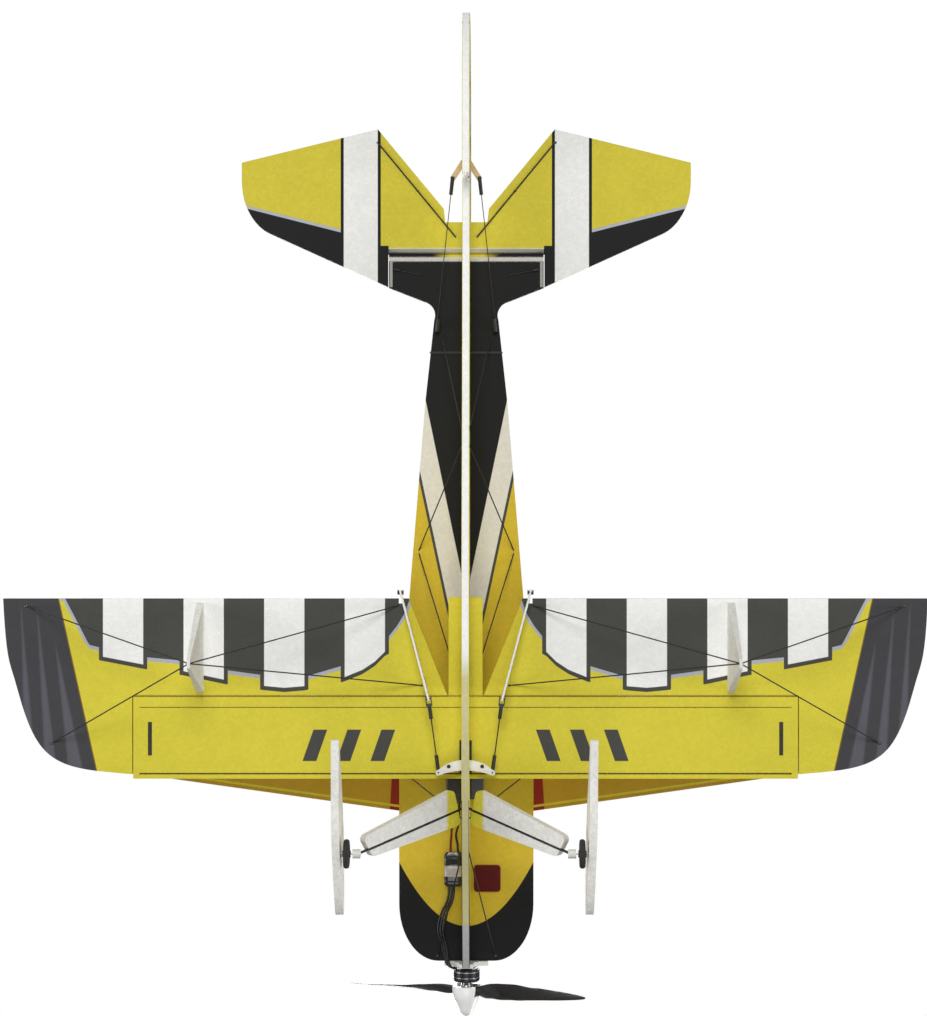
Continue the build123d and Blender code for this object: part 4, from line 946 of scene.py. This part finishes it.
def spread(name, spots, master, size, vary, finish, body):
    """One plain mesh of the master on every spot; a spot is x, y, z in mm and its turn."""
    points = bpy.data.meshes.new(name + "_points")
    points.from_pydata([[part / 1000 for part in spot[:3]] for spot in spots], [], [])
    turns = points.attributes.new("turn", "FLOAT_VECTOR", "POINT")
    for place, spot in enumerate(spots):
        turns.data[place].vector = spot[3] if len(spot) > 3 else (0, 0, 0)
    piece = bpy.data.objects.new(name, points)
    bpy.context.collection.objects.link(piece)
    layer = piece.modifiers.new("spread", "NODES")
    layer.node_group = spread_tree
    values = {"Master": master, "Size": size, "Vary": vary, "Seed": 7, "Finish": finish}
    for value_name, value in values.items():
        layer[spread_sockets[value_name]] = value
    graph = bpy.context.evaluated_depsgraph_get()
    mesh = bpy.data.meshes.new_from_object(piece.evaluated_get(graph))
    mesh.name = name
    piece.modifiers.clear()
    piece.data = mesh
    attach(piece, body)
    return piece


def master_shape(name, build):
    """A small shape one millimetre in size that the tree repeats; it is removed after use."""
    shape = bmesh.new()
    build(shape)
    mesh = bpy.data.meshes.new(name)
    shape.to_mesh(mesh)
    shape.free()
    mesh.shade_smooth()
    master = bpy.data.objects.new(name, mesh)
    bpy.context.collection.objects.link(master)
    return master


def drop_shape(shape):
    bmesh.ops.create_icosphere(shape, subdivisions=2, radius=0.001)
    bmesh.ops.scale(shape, vec=(1.3, 1.0, 0.55), verts=shape.verts)


cement = hard_material(
    "foam_cement", tint(58, 52, 38), 0.35, 0.3, coat_weight=0.3, scale=300.0,
)
drop = master_shape("glue_drop", drop_shape)
wing_under = lower_box[0][2] * 1000
DROP_VARY = 0.25
BRACE_FEET = ((349.0, -74.0), (329.0, -183.0), (51.5, -73.0), (35.0, -137.0))
POST_APEX = (211.0, -115.0, 32.5)
PLATE_FEET = ((50.0, -215.0), (24.0, -365.0), (4.0, 132.0), (29.0, 132.0))
ELEVATOR_FEET = ((73.0, 305.0), (40.0, 265.0))
for side_name, side in (("left", 1), ("right", -1)):
    feet = [(side * foot_x, foot_y, wing_under) for foot_x, foot_y in BRACE_FEET]
    feet.append((side * POST_APEX[0], POST_APEX[1], POST_APEX[2]))
    aileron = f"lower_aileron_{side_name}"
    spread(f"brace_glue_{side_name}", feet, drop, 1.2, DROP_VARY, cement, aileron)
for glue_name, glue_feet, drop_size, glue_body in (
    ("plate_glue", PLATE_FEET, 1.0, "airframe"),
    ("elevator_glue", ELEVATOR_FEET, 1.1, "elevator"),
):
    feet = []
    for side in (-1, 1):
        feet += [(side * foot_x, foot_y, plate_under) for foot_x, foot_y in glue_feet]
    spread(glue_name, feet, drop, drop_size, DROP_VARY, cement, glue_body)
bpy.data.objects.remove(drop)


# Hook pad pile: stiff nylon loops woven in rows on the tape, each leaning and turned a
# little differently.
def loop_shape(shape):
    arch = [(-0.32, 0.0), (-0.34, -0.45), (0.0, -0.78), (0.34, -0.45), (0.32, 0.0)]
    thread = ((-0.07, -0.06), (0.07, -0.06), (0.0, 0.08))
    skin(shape, [[(across + dx, dy, height) for dx, dy in thread] for across, height in arch])
    bmesh.ops.recalc_face_normals(shape, faces=shape.faces)


LOOPS_ACROSS = 24
LOOP_PITCH = 0.845
LOOP_MARGIN = 1.3
LOOP_STRAY = 0.15
CORNER_REACH = 19.6
hook_loop = master_shape("hook_loop", loop_shape)
pad_low, pad_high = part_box("hook_pad")
loop_draw = random.Random(4)
loop_spots = []
for row in range(LOOPS_ACROSS):
    for place in range(LOOPS_ACROSS):
        spot_x = pad_low[0] * 1000 + LOOP_MARGIN + place * LOOP_PITCH
        spot_x += loop_draw.uniform(-LOOP_STRAY, LOOP_STRAY)
        spot_y = pad_low[1] * 1000 + LOOP_MARGIN + row * LOOP_PITCH
        spot_y += loop_draw.uniform(-LOOP_STRAY, LOOP_STRAY)
        edge_x = abs(spot_x - (pad_low[0] + pad_high[0]) * 500)
        edge_y = abs(spot_y - (pad_low[1] + pad_high[1]) * 500)
        if edge_x + edge_y < CORNER_REACH:
            spot_turn = (0.0, loop_draw.uniform(-0.3, 0.3), loop_draw.uniform(0, math.pi))
            loop_spots.append((spot_x, spot_y, pad_low[2] * 1000 + 0.05, spot_turn))
spread("hook_pad_loops", loop_spots, hook_loop, 1.0, 0.2, hook_tape, "airframe")
bpy.data.objects.remove(hook_loop)


# Stator coils: enamelled copper wire wound on the stator's twelve teeth, just inside the
# bell's open rim. They stay still while the bell turns.
def coil_shape(shape):
    bmesh.ops.create_cube(shape, size=0.001)
    bmesh.ops.scale(shape, vec=(3.4, 1.3, 3.0), verts=shape.verts)
    bmesh.ops.bevel(
        shape, geom=list(shape.edges), offset=0.0005, segments=3, profile=0.5, affect="EDGES",
    )


COIL_COUNT = 12
COIL_REACH = 7.6
COIL_BACK = 10.6
copper = hard_material(
    "enamelled_copper", tint(124, 58, 36), 0.35, 0.3, fibre=(1, 6, 1), metallic=0.8, scale=1500.0,
)
coil = master_shape("stator_coil", coil_shape)
coil_y = bell_front + COIL_BACK
coil_spots = []
for number in range(COIL_COUNT):
    angle = math.tau * number / COIL_COUNT
    coil_x = COIL_REACH * math.cos(angle)
    coil_z = shaft_height + COIL_REACH * math.sin(angle)
    coil_spots.append((coil_x, coil_y, coil_z, (0.0, -angle, 0.0)))
spread("stator_coils", coil_spots, coil, 0.9, 0.0, copper, "airframe")
bpy.data.objects.remove(coil)


# Servo-arm screws: black steel pan heads with a washer, screwed up into the arm to keep the
# pushrods on its ends.
SCREW_SIDES = 20
SCREW_OUTLINE = (
    # radius, height: washer, then the head below it
    (1.9, 0.0), (1.9, -0.25), (1.35, -0.3), (1.3, -0.75), (0.9, -1.1), (0.35, -1.2),
)


def screw_shape(shape):
    rings = []
    for radius, height in SCREW_OUTLINE:
        ring = []
        for turn in range(SCREW_SIDES):
            angle = math.tau * turn / SCREW_SIDES
            ring.append((radius * math.cos(angle), radius * math.sin(angle), height))
        rings.append(ring)
    skin(shape, rings)
    bmesh.ops.recalc_face_normals(shape, faces=shape.faces)


ARM_END_X = 13.2
ARM_END_Y = -200.0
screw = master_shape("arm_screw", screw_shape)
arm_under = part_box("aileron_servo_arm")[0][2] * 1000
arm_screws = [(side * ARM_END_X, ARM_END_Y, arm_under) for side in (-1, 1)]
spread("arm_screws", arm_screws, screw, 0.8, 0.0, black_plastic, "aileron_arm")
bpy.data.objects.remove(screw)
